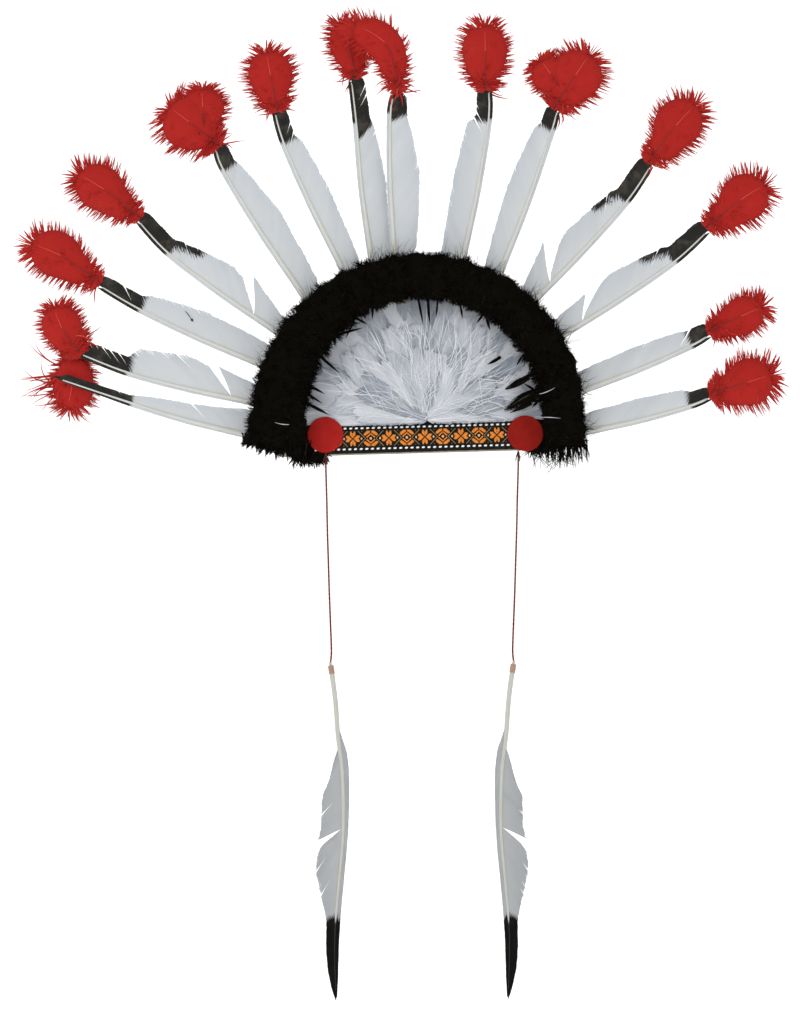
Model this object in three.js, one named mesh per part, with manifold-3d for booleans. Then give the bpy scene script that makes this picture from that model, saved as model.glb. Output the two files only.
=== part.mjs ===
// Feathered headdress: a fan of fourteen tall feathers with red plumes on their tips, set behind
// a black feather boa that arches over a half disc of white hackle feathers. A woven ribbon
// closes the half disc below, with a felt rosette at each end. From each rosette hangs a cord
// with a long drop feather. An elastic strap behind the band goes round the head.
//
// Each piece is drawn in the plane of the headdress: x to the right, y up, z towards the front,
// in millimetres, with z = 0 on the back face of the backing, where the forehead sits. The
// group at the end turns the drawing plane upright, so that +Z is up and the front faces -Y.

import * as THREE from 'three';
import { mergeVertices } from 'three/addons/utils/BufferGeometryUtils.js';
import Module from 'manifold-3d';

const manifold = await Module();
manifold.setup();

// ---------------------------------------------------------------- driving dimensions (mm, deg)

// A table's rows as records, each with the named columns.
function table(columns, rows) {
  return rows.map((row) => Object.fromEntries(columns.map((name, place) => [name, row[place]])));
}

const GAP = 0.3;

const ARCH_CENTRE = new THREE.Vector2(-0.8, 15.3);
const BAND_TILT = 1.6;

const BACKING = { radius: 124, thickness: 2.0, foot: -13.8, segments: 22 };
const RIBBON = { width: 25, thickness: 1.0, left: -96, right: 100 };
const ROSETTE = {
  diameter: 30, thickness: 2.5, edge: 0.6, sides: 16, left: { x: -82, y: 1.7 }, right: { x: 87.5, y: 2.8 },
};
const BOA = { radius: 119.5, depth: 29, lumps: 23, lumpHeight: 1.2, proud: 3 };
const BOA_ARCH = { first: 170, last: 10, step: 16 };
const BOA_LEGS = { leftFoot: [-127, -10], leftKnee: [-122.5, 3], rightKnee: [120, 3], rightFoot: [121, -10] };
const BOA_LOCKS = { count: 56, length: 12, radius: 4, sunk: 0.72, lean: 0.35, backward: -0.25 };
const FOOT_LOCKS = { count: 5, length: 15, radius: 5.5, sunk: 4, splay: 0.4, spread: 0.8 };
const STRAP = { width: 10, thickness: 1.2, halfSpan: 92, depth: 150, tab: 14, backWidth: 66, steps: 22 };

// Layers in front of the backing. Each one starts a gap in front of the layer behind it.
const ON_BACKING = BACKING.thickness + GAP;
const ON_RIBBON = ON_BACKING + RIBBON.thickness + GAP;
const QUILL_DIAMETER = 3.8;
const BACK_QUILLS = ON_BACKING + QUILL_DIAMETER / 2;
const FRONT_QUILLS = BACK_QUILLS + QUILL_DIAMETER + GAP;
const ON_QUILLS = FRONT_QUILLS + QUILL_DIAMETER / 2 + GAP;

const HANG_HEIGHT = ON_RIBBON + ROSETTE.thickness / 2;

// The vane's plate, the width of its narrow side and the length of shaft under the boa. The
// shafts bow outwards a little, and sweep back towards their tips by tipSweep over sweepLength.
const VANE = { thickness: 1.0, narrow: 3.6, root: 26, bow: 1.5, tipSweep: 12, sweepLength: 150 };
const QUILL_TIP_DIAMETER = 1.6;
const QUILL_STEPS = 4;
const LEFT_FEATHERS = 8;

// Hackle rows, from the one on the backing to the one in front.
const HACKLE_ROOT = new THREE.Vector2(5, 14);
const HACKLE_ROWS = [
  { name: 'hackle_row_outer', leaves: 15, inner: 40, outer: 97, width: 19, bed: 66 },
  { name: 'hackle_row_middle', leaves: 13, inner: 22, outer: 78, width: 17, bed: 44 },
  { name: 'hackle_row_inner', leaves: 9, inner: 4, outer: 56, width: 15, bed: 22 },
];
const HACKLE = { thickness: 2.3, firstBearing: 6, lastBearing: 174 };

// The boa's half width from its left foot to its right foot.
const BOA_WIDTHS = [
  { along: 0.0, half: 28 },
  { along: 0.09, half: 23 },
  { along: 0.2, half: 22 },
  { along: 0.85, half: 21.5 },
  { along: 1.0, half: 19.5 },
];

// Tall feathers, from the left foot of the fan over the top to the right foot.
// seat, reach: where the feather leaves the boa, as a bearing and a distance from ARCH_CENTRE.
// aim: the way it points there. white, black: the lengths of its white part and its black tip.
// turn: how far the black tip bends to the broad side. base, belly, neck, tip: the broad
// side's width at the boa, at its widest, at the top of the white part and in the black tip.
const FEATHERS = table(['seat', 'reach', 'aim', 'white', 'black', 'turn', 'base', 'belly', 'neck', 'tip'], [
  [184.8, 152, 164.5, 98, 67, 3, 22, 14, 8, 5],
  [174.3, 146, 166.5, 105, 39, 8, 16, 27, 22, 13],
  [161.2, 143, 155.5, 114, 41, 6, 18, 23, 15, 9],
  [148.9, 143, 144, 114, 39, 11, 12, 25, 15, 12],
  [133.2, 150, 122.5, 122, 20, 13, 17, 23, 15, 10],
  [117.6, 145, 115, 117, 29, 9, 16, 20, 15, 8],
  [107.3, 140, 96.5, 113, 44, 0, 17, 21, 15, 8],
  [99.0, 147, 91.5, 114, 15, 18, 19, 25, 14, 10],
  [75.4, 141, 79.5, 120, 27, 10, 19, 22, 18, 8],
  [61.7, 142, 70, 129, 17, 6, 14, 21, 15, 9],
  [46.3, 137, 47, 118, 38, 9, 14, 22, 16, 12],
  [30.5, 137, 33.5, 117, 39, 9, 14, 23, 16, 12],
  [9.9, 139, 22.5, 100, 19, 8, 16, 19, 13, 10],
  [-4.5, 140, 14, 92, 19, 9, 15, 18, 14, 8],
]);

// Splits in the broad side, by feather number. root: how far up the shaft the split ends.
// deep: its distance from the shaft there. lobe, out: where the point of the loose lobe lies.
const SPLITS = new Map([
  [2, { root: 20, deep: 4, lobe: 32, out: 24 }],
  [4, { root: 28, deep: 4, lobe: 43, out: 28 }],
  [11, { root: 30, deep: 7, lobe: 43, out: 29 }],
  [12, { root: 30, deep: 7, lobe: 37, out: 20 }],
]);

// Tip plumes, in the order of the feathers. aim, length, width: the way each one lies and its
// size over its spiky ends. bend: how far its middle swings to the left of that line.
// sway: how far its middle lies towards the front. tied: how far below the feather's tip it
// is tied. side: a second, smaller tuft on the same quill.
const PLUMES = table(['aim', 'length', 'width', 'bend', 'sway', 'tied', 'side'], [
  [217, 43, 44, -5, -13, 27],
  [133, 51, 41, 0, 9, 0],
  [166, 72, 50, -3, 0, 0],
  [152, 72, 48, 2, 3, 0],
  [140, 60, 55, 0, 0, 0, { aim: 75, length: 40, width: 29 }],
  [101, 60, 46, 0, 3, 0],
  [108, 55, 42, -3, -10, 0],
  [112, 68, 44, -14, 10, 0],
  [90, 61, 47, 0, 0, 0],
  [47, 62, 55, 0, 3, 0, { aim: 122, length: 40, width: 29 }],
  [44, 70, 48, -2, 0, 0],
  [28, 69, 48, 0, 3, 0],
  [21, 57, 40, 0, 0, 0],
  [13, 63, 56, 0, 3, 0],
]);

// The plumes' cores and locks, the gap to the feather's tip, how far along the quill a side
// tuft forks off, and how far behind its feather a tied plume starts.
const PLUME = {
  coreShare: 0.76, flatness: 0.5, sides: 7, locks: 8, sideLocks: 4, lockRadius: 6,
  clear: 1.3, fork: 14, tiedDrop: 3,
};

// How far round its swing a plume is at its end, in radians.
const SWAY_TURN = 1.9;

// The locks round a plume: the stretch of the core they stand on, how far each one's foot is
// sunk, and how they turn, lean out to the front and back, and spread sideways.
const LOCKS = { first: 0.12, last: 0.98, sunk: 7, turn: 2.4, out: 0.55, baseSpread: 1.2, endSpread: 0.25 };

// A plume's half width from its base to its end, as a share of its greatest.
const PLUME_PROFILE = [
  { at: 0, share: 0 }, { at: 0.02, share: 0.2 }, { at: 0.18, share: 0.68 }, { at: 0.42, share: 0.95 },
  { at: 0.72, share: 0.95 }, { at: 0.92, share: 0.55 }, { at: 1, share: 0 },
];

// The hanging cords, from the rosette down, as they lie on the left. The right one mirrors it.
const CORD_ROUTE = [
  { x: -81.6, y: -24 }, { x: -81.3, y: -38 }, { x: -80.8, y: -54 },
  { x: -80.5, y: -70 }, { x: -80.1, y: -86 }, { x: -79.6, y: -102 }, { x: -79.1, y: -118 },
  { x: -78.6, y: -134 }, { x: -78.0, y: -150 }, { x: -77.4, y: -165 }, { x: -77.0, y: -176 },
  { x: -76.9, y: -184 }, { x: -77.6, y: -191.2 },
];
const GOLDEN_RATIO = 0.618;

const CORD = { diameter: 1.6, steps: 26, startLeft: -13.8, startRight: -11.8, rightLift: 1.2 };

// The drop feather: its shaft from the quill down, then its two edges as widths off the shaft.
const DROP_SHAFT = [
  { x: -77.8, y: -191.8 }, { x: -73.6, y: -223 }, { x: -71.2, y: -255 }, { x: -67.6, y: -286 },
  { x: -66.9, y: -333 }, { x: -69.6, y: -368 }, { x: -73.2, y: -408 }, { x: -74.2, y: -440 },
  { x: -72.8, y: -478 },
];
const DROP_BROAD_EDGE = [
  { at: 60, wide: 1.5 }, { at: 78, wide: 6.5 }, { at: 92, wide: 13 }, { at: 104, wide: 19 },
  { at: 134, wide: 21 }, { at: 146, wide: 20.5 }, { at: 147, wide: 10 }, { at: 160, wide: 20 },
  { at: 176, wide: 20 }, { at: 200, wide: 15 }, { at: 225, wide: 7 }, { at: 262, wide: 6.5 },
];
const DROP_NARROW_EDGE = [
  { at: 262, wide: 3 }, { at: 225, wide: 4 }, { at: 150, wide: 2.5 }, { at: 90, wide: 2.6 },
  { at: 50, wide: 1.2 },
];
const DROP = { quillDiameter: 4, length: 287, binding: 7 };

const MATERIALS = {
  felt: { color: 0x8f8a7c, roughness: 0.95, metalness: 0 },
  ribbon: { color: 0x1d1812, roughness: 0.7, metalness: 0 },
  redFelt: { color: 0x98221e, roughness: 0.95, metalness: 0 },
  blackBoa: { color: 0x0d0b08, roughness: 0.95, metalness: 0 },
  hackle: { color: 0xc6cad0, roughness: 0.85, metalness: 0 },
  feather: { color: 0xcbd0d4, roughness: 0.75, metalness: 0 },
  plume: { color: 0xae2a25, roughness: 0.9, metalness: 0 },
  cord: { color: 0xa01c1a, roughness: 0.85, metalness: 0 },
  elastic: { color: 0x26231f, roughness: 0.9, metalness: 0 },
};

// ---------------------------------------------------------------- helpers

const radians = THREE.MathUtils.degToRad;

function polar(bearing, distance) {
  return new THREE.Vector2(Math.cos(radians(bearing)), Math.sin(radians(bearing))).multiplyScalar(distance);
}

// Turns a three.js geometry into a solid that can be joined and cut.
function solid(geometry) {
  const bare = geometry.clone();
  bare.deleteAttribute('normal');
  bare.deleteAttribute('uv');
  const merged = mergeVertices(bare, 1e-3);
  return new manifold.Manifold(new manifold.Mesh({
    numProp: 3,
    vertProperties: new Float32Array(merged.attributes.position.array),
    triVerts: new Uint32Array(merged.index.array),
  }));
}

function geometryOf(body) {
  const mesh = body.getMesh();
  const geometry = new THREE.BufferGeometry();
  geometry.setAttribute('position', new THREE.BufferAttribute(new Float32Array(mesh.vertProperties), 3));
  geometry.setIndex(new THREE.BufferAttribute(new Uint32Array(mesh.triVerts), 1));
  geometry.computeVertexNormals();
  return geometry;
}

function fuse(geometries) {
  return geometries.map(solid).reduce((whole, next) => whole.add(next));
}

// The value of a column at a place along a table, straight between its rows.
function tableValue(rows, key, column, place) {
  const next = rows.findIndex((row) => row[key] >= place);
  if (next === -1) {
    return rows[rows.length - 1][column];
  }
  if (next === 0) {
    return rows[0][column];
  }
  const low = rows[next - 1];
  const high = rows[next];
  const share = (place - low[key]) / (high[key] - low[key]);
  return THREE.MathUtils.lerp(low[column], high[column], share);
}

// A line that a straight shape is bent along. Its shape lies along x with its sides along y.
class Spine {
  constructor(points) {
    this.curve = new THREE.SplineCurve(points);
    this.curve.arcLengthDivisions = 400;
    this.length = this.curve.getLength();
  }

  // The point, and the way along and to the left of the line, at a distance from its start.
  at(distance) {
    const share = THREE.MathUtils.clamp(distance / this.length, 0, 1);
    const along = this.curve.getTangentAt(share);
    const point = this.curve.getPointAt(share).addScaledVector(along, distance - share * this.length);
    return { point, along, left: new THREE.Vector2(-along.y, along.x) };
  }

  // Bends a geometry drawn along x onto the line. lift adds a height to each place along it.
  bend(geometry, lift = () => 0) {
    const position = geometry.attributes.position;
    for (let i = 0; i < position.count; i += 1) {
      const distance = position.getX(i);
      const { point, left } = this.at(distance);
      point.addScaledVector(left, position.getY(i));
      position.setXYZ(i, point.x, point.y, position.getZ(i) + lift(distance));
    }
    return geometry;
  }
}

// A plate of the given thickness, centred on a height.
function plate(outline, thickness, height = 0) {
  const shape = new THREE.Shape(outline);
  const geometry = new THREE.ExtrudeGeometry(shape, { depth: thickness, bevelEnabled: false });
  return geometry.translate(0, 0, height - thickness / 2);
}

// A tapered round bar along x, from one distance to another.
function bar(from, to, startDiameter, endDiameter, steps) {
  const length = to - from;
  const geometry = new THREE.CylinderGeometry(endDiameter / 2, startDiameter / 2, length, 6, steps);
  return geometry.rotateZ(-Math.PI / 2).translate((from + to) / 2, 0, 0);
}

// A three-sided lock of barbs that starts a little inside its surface and points outwards.
function lock(start, direction, length, radius) {
  const geometry = new THREE.ConeGeometry(radius, length, 3);
  geometry.translate(0, length / 2, 0);
  const turn = new THREE.Quaternion().setFromUnitVectors(new THREE.Vector3(0, 1, 0), direction);
  geometry.applyQuaternion(turn);
  return geometry.translate(start.x, start.y, start.z);
}

// ---------------------------------------------------------------- backing, band and rosettes

// The ribbon's middle line: the height of the band at a place across.
function bandHeight(x) {
  return x * Math.tan(radians(BAND_TILT));
}

function makeBacking() {
  const tilt = radians(BAND_TILT);
  const drop = (ARCH_CENTRE.y - bandHeight(ARCH_CENTRE.x) - BACKING.foot) * Math.cos(tilt);
  const dip = Math.asin(drop / BACKING.radius);
  const shape = new THREE.Shape();
  shape.absarc(ARCH_CENTRE.x, ARCH_CENTRE.y, BACKING.radius, tilt - dip, Math.PI + tilt + dip, false);
  shape.closePath();
  return new THREE.ExtrudeGeometry(shape, {
    depth: BACKING.thickness, bevelEnabled: false, curveSegments: BACKING.segments,
  });
}

function makeRibbon() {
  const length = RIBBON.right - RIBBON.left;
  const middle = (RIBBON.right + RIBBON.left) / 2;
  const geometry = new THREE.BoxGeometry(length, RIBBON.width, RIBBON.thickness);
  geometry.rotateZ(radians(BAND_TILT));
  return geometry.translate(middle, bandHeight(middle), ON_BACKING + RIBBON.thickness / 2);
}

function makeRosette(centre) {
  const radius = ROSETTE.diameter / 2;
  const profile = [
    new THREE.Vector2(0, 0),
    new THREE.Vector2(radius - ROSETTE.edge, 0),
    new THREE.Vector2(radius, ROSETTE.edge),
    new THREE.Vector2(radius, ROSETTE.thickness - ROSETTE.edge),
    new THREE.Vector2(radius - ROSETTE.edge, ROSETTE.thickness),
    new THREE.Vector2(0, ROSETTE.thickness),
  ];
  const disc = new THREE.LatheGeometry(profile, ROSETTE.sides);
  return disc.rotateX(Math.PI / 2).translate(centre.x, centre.y, ON_RIBBON);
}

// ---------------------------------------------------------------- boa

// The boa's middle line: up the left leg, over the arch and down the right leg.
function boaSpine() {
  const { leftFoot, leftKnee, rightKnee, rightFoot } = BOA_LEGS;
  const arch = [];
  for (let bearing = BOA_ARCH.first; bearing >= BOA_ARCH.last; bearing -= BOA_ARCH.step) {
    arch.push(polar(bearing, BOA.radius).add(ARCH_CENTRE).toArray());
  }
  const route = [leftFoot, leftKnee, ...arch, rightKnee, rightFoot];
  return new Spine(route.map(([x, y]) => new THREE.Vector2(x, y)));
}

function boaHalfWidth(share) {
  const lump = Math.sin(share * BOA.lumps * Math.PI * 2) * BOA.lumpHeight;
  return tableValue(BOA_WIDTHS, 'along', 'half', share) + lump;
}

function makeBoa() {
  const spine = boaSpine();
  const centre = ON_QUILLS + BOA.depth / 2;
  const core = new THREE.CylinderGeometry(1, 1, spine.length, 10, 28);
  core.rotateZ(-Math.PI / 2).translate(spine.length / 2, 0, 0);
  const position = core.attributes.position;
  for (let i = 0; i < position.count; i += 1) {
    const half = boaHalfWidth(position.getX(i) / spine.length) - BOA.proud;
    position.setY(i, position.getY(i) * half);
    position.setZ(i, position.getZ(i) * BOA.depth / 2);
  }
  const pieces = [spine.bend(core, () => centre)];
  for (let i = 0; i < BOA_LOCKS.count; i += 1) {
    pieces.push(boaLock(spine, (i + 0.5) / BOA_LOCKS.count, i, centre));
  }
  for (const share of [0, 1]) {
    for (let i = 0; i < FOOT_LOCKS.count; i += 1) {
      pieces.push(boaFootLock(spine, share, i, centre));
    }
  }
  return geometryOf(fuse(pieces));
}

// One lock on the boa's side. The locks step round its section by the golden ratio, over its
// front and two edges, and lean along the boa to one side and the other in turn.
function boaLock(spine, share, index, centre) {
  const { point, along, left } = spine.at(share * spine.length);
  const half = boaHalfWidth(share) - BOA.proud;
  const round = ((index * GOLDEN_RATIO) % 1) * Math.PI * 1.3 - Math.PI * 0.15;
  const across = Math.cos(round);
  const out = Math.max(Math.sin(round), BOA_LOCKS.backward);
  const lean = index % 2 === 0 ? BOA_LOCKS.lean : -BOA_LOCKS.lean;
  const way = left.clone().multiplyScalar(across).addScaledVector(along, lean);
  const foot = point.clone().addScaledVector(left, across * half * BOA_LOCKS.sunk);
  const start = new THREE.Vector3(foot.x, foot.y, centre + out * (BOA.depth / 2) * BOA_LOCKS.sunk);
  const direction = new THREE.Vector3(way.x, way.y, out).normalize();
  return lock(start, direction, BOA_LOCKS.length + (index % 3), BOA_LOCKS.radius);
}

// One of the ragged locks that end a leg of the boa.
function boaFootLock(spine, share, index, centre) {
  const { point, along, left } = spine.at(share * spine.length);
  const half = boaHalfWidth(share) - BOA.proud;
  const across = (index - (FOOT_LOCKS.count - 1) / 2) / (FOOT_LOCKS.count / 2);
  const down = along.clone().multiplyScalar(share === 0 ? -1 : 1);
  const way = down.clone().addScaledVector(left, across * FOOT_LOCKS.splay);
  const foot = point.clone().addScaledVector(left, across * half * FOOT_LOCKS.spread);
  foot.addScaledVector(down, -FOOT_LOCKS.sunk);
  const start = new THREE.Vector3(foot.x, foot.y, centre - BOA.proud);
  const direction = new THREE.Vector3(way.x, way.y, 0).normalize();
  return lock(start, direction, FOOT_LOCKS.length, FOOT_LOCKS.radius);
}

// ---------------------------------------------------------------- hackle panel

// One hackle: a leaf with a round shoulder and a pointed tip, along x from its root.
function hackleOutline(row, leaf) {
  const length = row.outer - row.inner - (leaf % 3) * 2.5;
  const half = row.width / 2;
  return [
    new THREE.Vector2(0, -half * 0.5),
    new THREE.Vector2(length * 0.35, -half),
    new THREE.Vector2(length * 0.75, -half * 0.8),
    new THREE.Vector2(length, 0),
    new THREE.Vector2(length * 0.75, half * 0.8),
    new THREE.Vector2(length * 0.35, half),
    new THREE.Vector2(0, half * 0.5),
  ];
}

function makeHackleRow(row, index) {
  const height = ON_BACKING + (index + 0.5) * HACKLE.thickness + index * GAP;
  const bed = new THREE.CylinderGeometry(row.bed, row.bed, HACKLE.thickness, 12);
  bed.rotateX(Math.PI / 2).translate(HACKLE_ROOT.x, HACKLE_ROOT.y, height);
  const pieces = [bed];
  for (let leaf = 0; leaf < row.leaves; leaf += 1) {
    const share = leaf / (row.leaves - 1);
    const bearing = THREE.MathUtils.lerp(HACKLE.firstBearing, HACKLE.lastBearing, share);
    const blade = plate(hackleOutline(row, leaf), HACKLE.thickness);
    const start = polar(bearing, row.inner).add(HACKLE_ROOT);
    blade.rotateZ(radians(bearing)).translate(start.x, start.y, height);
    pieces.push(blade);
  }
  const below = new THREE.BoxGeometry(2 * BACKING.radius, BACKING.radius, 4 * HACKLE.thickness);
  const edge = (RIBBON.width - BACKING.radius) / 2 + 2 * GAP;
  below.translate(0, edge, height).rotateZ(radians(BAND_TILT));
  const cuts = [below, ...[ROSETTE.left, ROSETTE.right].map((centre) => rosetteRoom(centre, height))];
  return geometryOf(fuse(pieces).subtract(fuse(cuts)));
}

// The room that a hackle row leaves round a rosette.
function rosetteRoom(centre, height) {
  const radius = ROSETTE.diameter / 2 + 2 * GAP;
  const room = new THREE.CylinderGeometry(radius, radius, 4 * HACKLE.thickness, ROSETTE.sides);
  return room.rotateX(Math.PI / 2).translate(centre.x, centre.y, height);
}

// ---------------------------------------------------------------- tall feathers

// The shaft's line: from under the boa, out of its edge, up the white part and the black tip.
function featherSpine(row, side) {
  const seat = polar(row.seat, row.reach).add(ARCH_CENTRE);
  const root = polar(row.aim + 180, VANE.root).add(seat);
  const neck = polar(row.aim, row.white).add(seat);
  const middle = polar(row.aim, row.white / 2).add(seat).add(polar(row.aim - side * 90, VANE.bow));
  const tip = polar(row.aim + side * row.turn, row.black).add(neck);
  return new Spine([root, seat, middle, neck, tip]);
}

// The vane's outline along the shaft. side is 1 where the broad side lies to the left.
function vaneOutline(row, split, side, length) {
  const seat = VANE.root;
  const neck = seat + row.white;
  const broad = [[seat - 16, row.base * 0.5], [seat, row.base]];
  if (split) {
    broad.push([seat + split.lobe, split.out], [seat + split.root, split.deep]);
    broad.push([seat + split.root + 22, row.belly * 0.85]);
  } else {
    broad.push([seat + row.white * 0.2, (row.base + row.belly) / 2]);
  }
  broad.push([seat + row.white * 0.55, row.belly], [seat + row.white * 0.8, (row.belly + row.neck) / 2]);
  broad.push([neck - 3, row.neck], [neck + 4, row.tip], [length - 6, row.tip * 0.9], [length, row.tip * 0.4]);
  const narrow = [[length, -1], [neck, -VANE.narrow], [seat + row.white / 2, -VANE.narrow]];
  narrow.push([seat - 12, -VANE.narrow]);
  return [...broad, ...narrow].map(([x, y]) => new THREE.Vector2(x, y * side));
}

function makeTallFeather(row, index) {
  const side = index < LEFT_FEATHERS ? -1 : 1;
  const spine = featherSpine(row, side);
  const outline = vaneOutline(row, SPLITS.get(index + 1), side, spine.length);
  const layer = index % 2 === 0 ? BACK_QUILLS : FRONT_QUILLS;
  const lift = (distance) => layer - tipSweep(distance);
  const vane = spine.bend(plate(outline, VANE.thickness), lift);
  const quill = spine.bend(bar(0, spine.length - 4, QUILL_DIAMETER, QUILL_TIP_DIAMETER, QUILL_STEPS), lift);
  return geometryOf(fuse([vane, quill]));
}

// The feathers sweep back towards their tips.
function tipSweep(distance) {
  return VANE.tipSweep * (Math.max(distance - VANE.root, 0) / VANE.sweepLength) ** 2;
}

// ---------------------------------------------------------------- tip plumes

// One tuft: a flattened, bent core with locks of barbs round its edge that sweep to its end.
function tuft(start, size, depthScale) {
  const end = polar(size.aim, size.length).add(start);
  const middle = polar(size.aim, size.length / 2).add(start).add(polar(size.aim + 90, size.bend));
  const spine = new Spine([start, middle, end]);
  const proud = (size.width * (1 - PLUME.coreShare)) / 2;
  const coreLength = spine.length - proud;
  const coreHalf = size.width / 2 - proud;
  const profile = PLUME_PROFILE.map((row) => new THREE.Vector2(row.share * coreHalf, row.at * coreLength));
  const core = new THREE.LatheGeometry(profile, PLUME.sides).rotateZ(-Math.PI / 2).scale(1, 1, depthScale);
  const pieces = [core];
  for (let i = 0; i < size.locks; i += 1) {
    const share = THREE.MathUtils.lerp(LOCKS.first, LOCKS.last, i / (size.locks - 1));
    const half = tableValue(PLUME_PROFILE, 'at', 'share', share) * coreHalf;
    const side = i % 2 === 0 ? 1 : -1;
    const out = Math.sin(i * LOCKS.turn) * LOCKS.out;
    const spread = THREE.MathUtils.lerp(LOCKS.baseSpread, LOCKS.endSpread, share ** 2);
    const direction = new THREE.Vector3(1, side * spread, out).normalize();
    const along = Math.max(share * coreLength - LOCKS.sunk, PLUME.lockRadius);
    const from = new THREE.Vector3(along, (side * half) / 2, (out * half * depthScale) / 2);
    pieces.push(lock(from, direction, proud * 2 + half * 0.45 + LOCKS.sunk, PLUME.lockRadius));
  }
  const body = geometryOf(fuse(pieces));
  return spine.bend(body, (distance) => size.sway * Math.sin((distance / spine.length) * SWAY_TURN));
}

function makeTipPlume(row, index) {
  const side = index < LEFT_FEATHERS ? -1 : 1;
  const feather = FEATHERS[index];
  const shaft = featherSpine(feather, side);
  const { point, along, left } = shaft.at(shaft.length - row.tied);
  const start = point.clone().addScaledVector(along, PLUME.clear);
  start.addScaledVector(left, (side * feather.tip) / 4);
  const layer = (index % 2 === 0 ? BACK_QUILLS : FRONT_QUILLS) - tipSweep(shaft.length);
  const main = tuft(start, { ...row, locks: PLUME.locks }, PLUME.flatness);
  const height = row.tied > 0 ? layer - VANE.thickness / 2 - PLUME.tiedDrop : layer;
  main.translate(0, 0, height);
  if (!row.side) {
    return main;
  }
  const fork = polar(row.aim, PLUME.fork).add(start);
  const second = tuft(fork, { ...row.side, bend: 0, sway: row.sway, locks: PLUME.sideLocks }, PLUME.flatness);
  second.translate(0, 0, height);
  return geometryOf(fuse([main, second]));
}

// ---------------------------------------------------------------- cords and drop feathers

// A place given for the left side, or its mirror image on the right.
function onSide(spot, side) {
  if (side === 'left') {
    return new THREE.Vector2(spot.x, spot.y);
  }
  return new THREE.Vector2(-spot.x, spot.y + CORD.rightLift);
}

function makeCord(side) {
  const points = CORD_ROUTE.map((spot) => onSide(spot, side));
  const start = side === 'left' ? CORD.startLeft : CORD.startRight;
  points.unshift(new THREE.Vector2(points[0].x, start));
  const path = new THREE.CatmullRomCurve3(points.map((point) => new THREE.Vector3(point.x, point.y, 0)));
  const section = new THREE.Shape();
  section.absarc(0, 0, CORD.diameter / 2, 0, Math.PI * 2, false);
  const geometry = new THREE.ExtrudeGeometry(section, {
    steps: CORD.steps, curveSegments: 4, extrudePath: path, bevelEnabled: false,
  });
  return geometry.translate(0, 0, HANG_HEIGHT);
}

function makeDropFeather(side) {
  const spine = new Spine(DROP_SHAFT.map((spot) => onSide(spot, side)));
  const sign = side === 'left' ? -1 : 1;
  const edge = [
    ...DROP_BROAD_EDGE.map((row) => [row.at, row.wide * sign]),
    [DROP.length, 0],
    ...DROP_NARROW_EDGE.map((row) => [row.at, -row.wide * sign]),
  ];
  const outline = edge.map(([x, y]) => new THREE.Vector2(x, y));
  const vane = plate(outline, VANE.thickness);
  const quill = bar(0, DROP.length - 12, DROP.quillDiameter, 1.4, 9);
  const binding = bar(2, 2 + DROP.binding, DROP.quillDiameter + 1.2, DROP.quillDiameter + 1.2, 1);
  const flat = geometryOf(fuse([vane, quill, binding]));
  return spine.bend(flat, () => HANG_HEIGHT);
}

// ---------------------------------------------------------------- elastic strap

// The strap's line from above: flat on the backing at each end and round the head behind it.
function makeStrap() {
  const back = -2 * GAP - STRAP.thickness / 2;
  const start = STRAP.halfSpan - STRAP.tab;
  const points = [
    [-start, back], [-STRAP.halfSpan + 4, back], [-STRAP.halfSpan - 1, back - 4],
    [-STRAP.halfSpan, back - 32], [-STRAP.halfSpan + 6, -STRAP.depth * 0.55],
    [-STRAP.backWidth, -STRAP.depth * 0.85], [-STRAP.backWidth / 2.6, -STRAP.depth],
  ];
  const mirrored = points.map(([x, y]) => [-x, y]).reverse();
  const spine = new Spine([...points, ...mirrored].map(([x, y]) => new THREE.Vector2(x, y)));
  const geometry = new THREE.BoxGeometry(spine.length, STRAP.thickness, STRAP.width, STRAP.steps, 1, 1);
  geometry.translate(spine.length / 2, 0, 0);
  return spine.bend(geometry).rotateX(Math.PI / 2);
}

// ---------------------------------------------------------------- assembly

const headdress = new THREE.Group();
headdress.rotation.x = Math.PI / 2;

function addPiece(name, geometry, finish) {
  const mesh = new THREE.Mesh(geometry, new THREE.MeshStandardMaterial(MATERIALS[finish]));
  mesh.name = name;
  headdress.add(mesh);
}

function numbered(name, index) {
  return `${name}_${String(index + 1).padStart(2, '0')}`;
}

addPiece('backing_panel', makeBacking(), 'felt');
addPiece('ribbon_band', makeRibbon(), 'ribbon');
addPiece('rosette_left', makeRosette(ROSETTE.left), 'redFelt');
addPiece('rosette_right', makeRosette(ROSETTE.right), 'redFelt');
addPiece('boa_arch', makeBoa(), 'blackBoa');
HACKLE_ROWS.forEach((row, index) => addPiece(row.name, makeHackleRow(row, index), 'hackle'));
FEATHERS.forEach((row, index) => {
  addPiece(numbered('tall_feather', index), makeTallFeather(row, index), 'feather');
});
PLUMES.forEach((row, index) => {
  addPiece(numbered('tip_plume', index), makeTipPlume(row, index), 'plume');
});
for (const side of ['left', 'right']) {
  addPiece(`cord_${side}`, makeCord(side), 'cord');
  addPiece(`drop_feather_${side}`, makeDropFeather(side), 'feather');
}
addPiece('elastic_strap', makeStrap(), 'elastic');

export default headdress;
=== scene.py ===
"""Feathered headdress: the finish of every piece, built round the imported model.

A fan of fourteen tall feathers with red plumes on their tips stands behind a black boa, which
arches over a panel of white hackles. A woven ribbon closes the panel below, with a felt rosette
at each end, and from each rosette a twisted cord carries a long drop feather.

Pieces are drawn in the plane of the headdress in millimetres: x to the right, y up and z towards
the front. Spine.place and world() turn such places into the shared frame, in metres.
"""
import logging
import math
from collections.abc import Callable, Sequence
from dataclasses import dataclass
from enum import Enum
from functools import cache

import bmesh
import bpy
import numpy as np
from mathutils import Matrix, Vector

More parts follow.
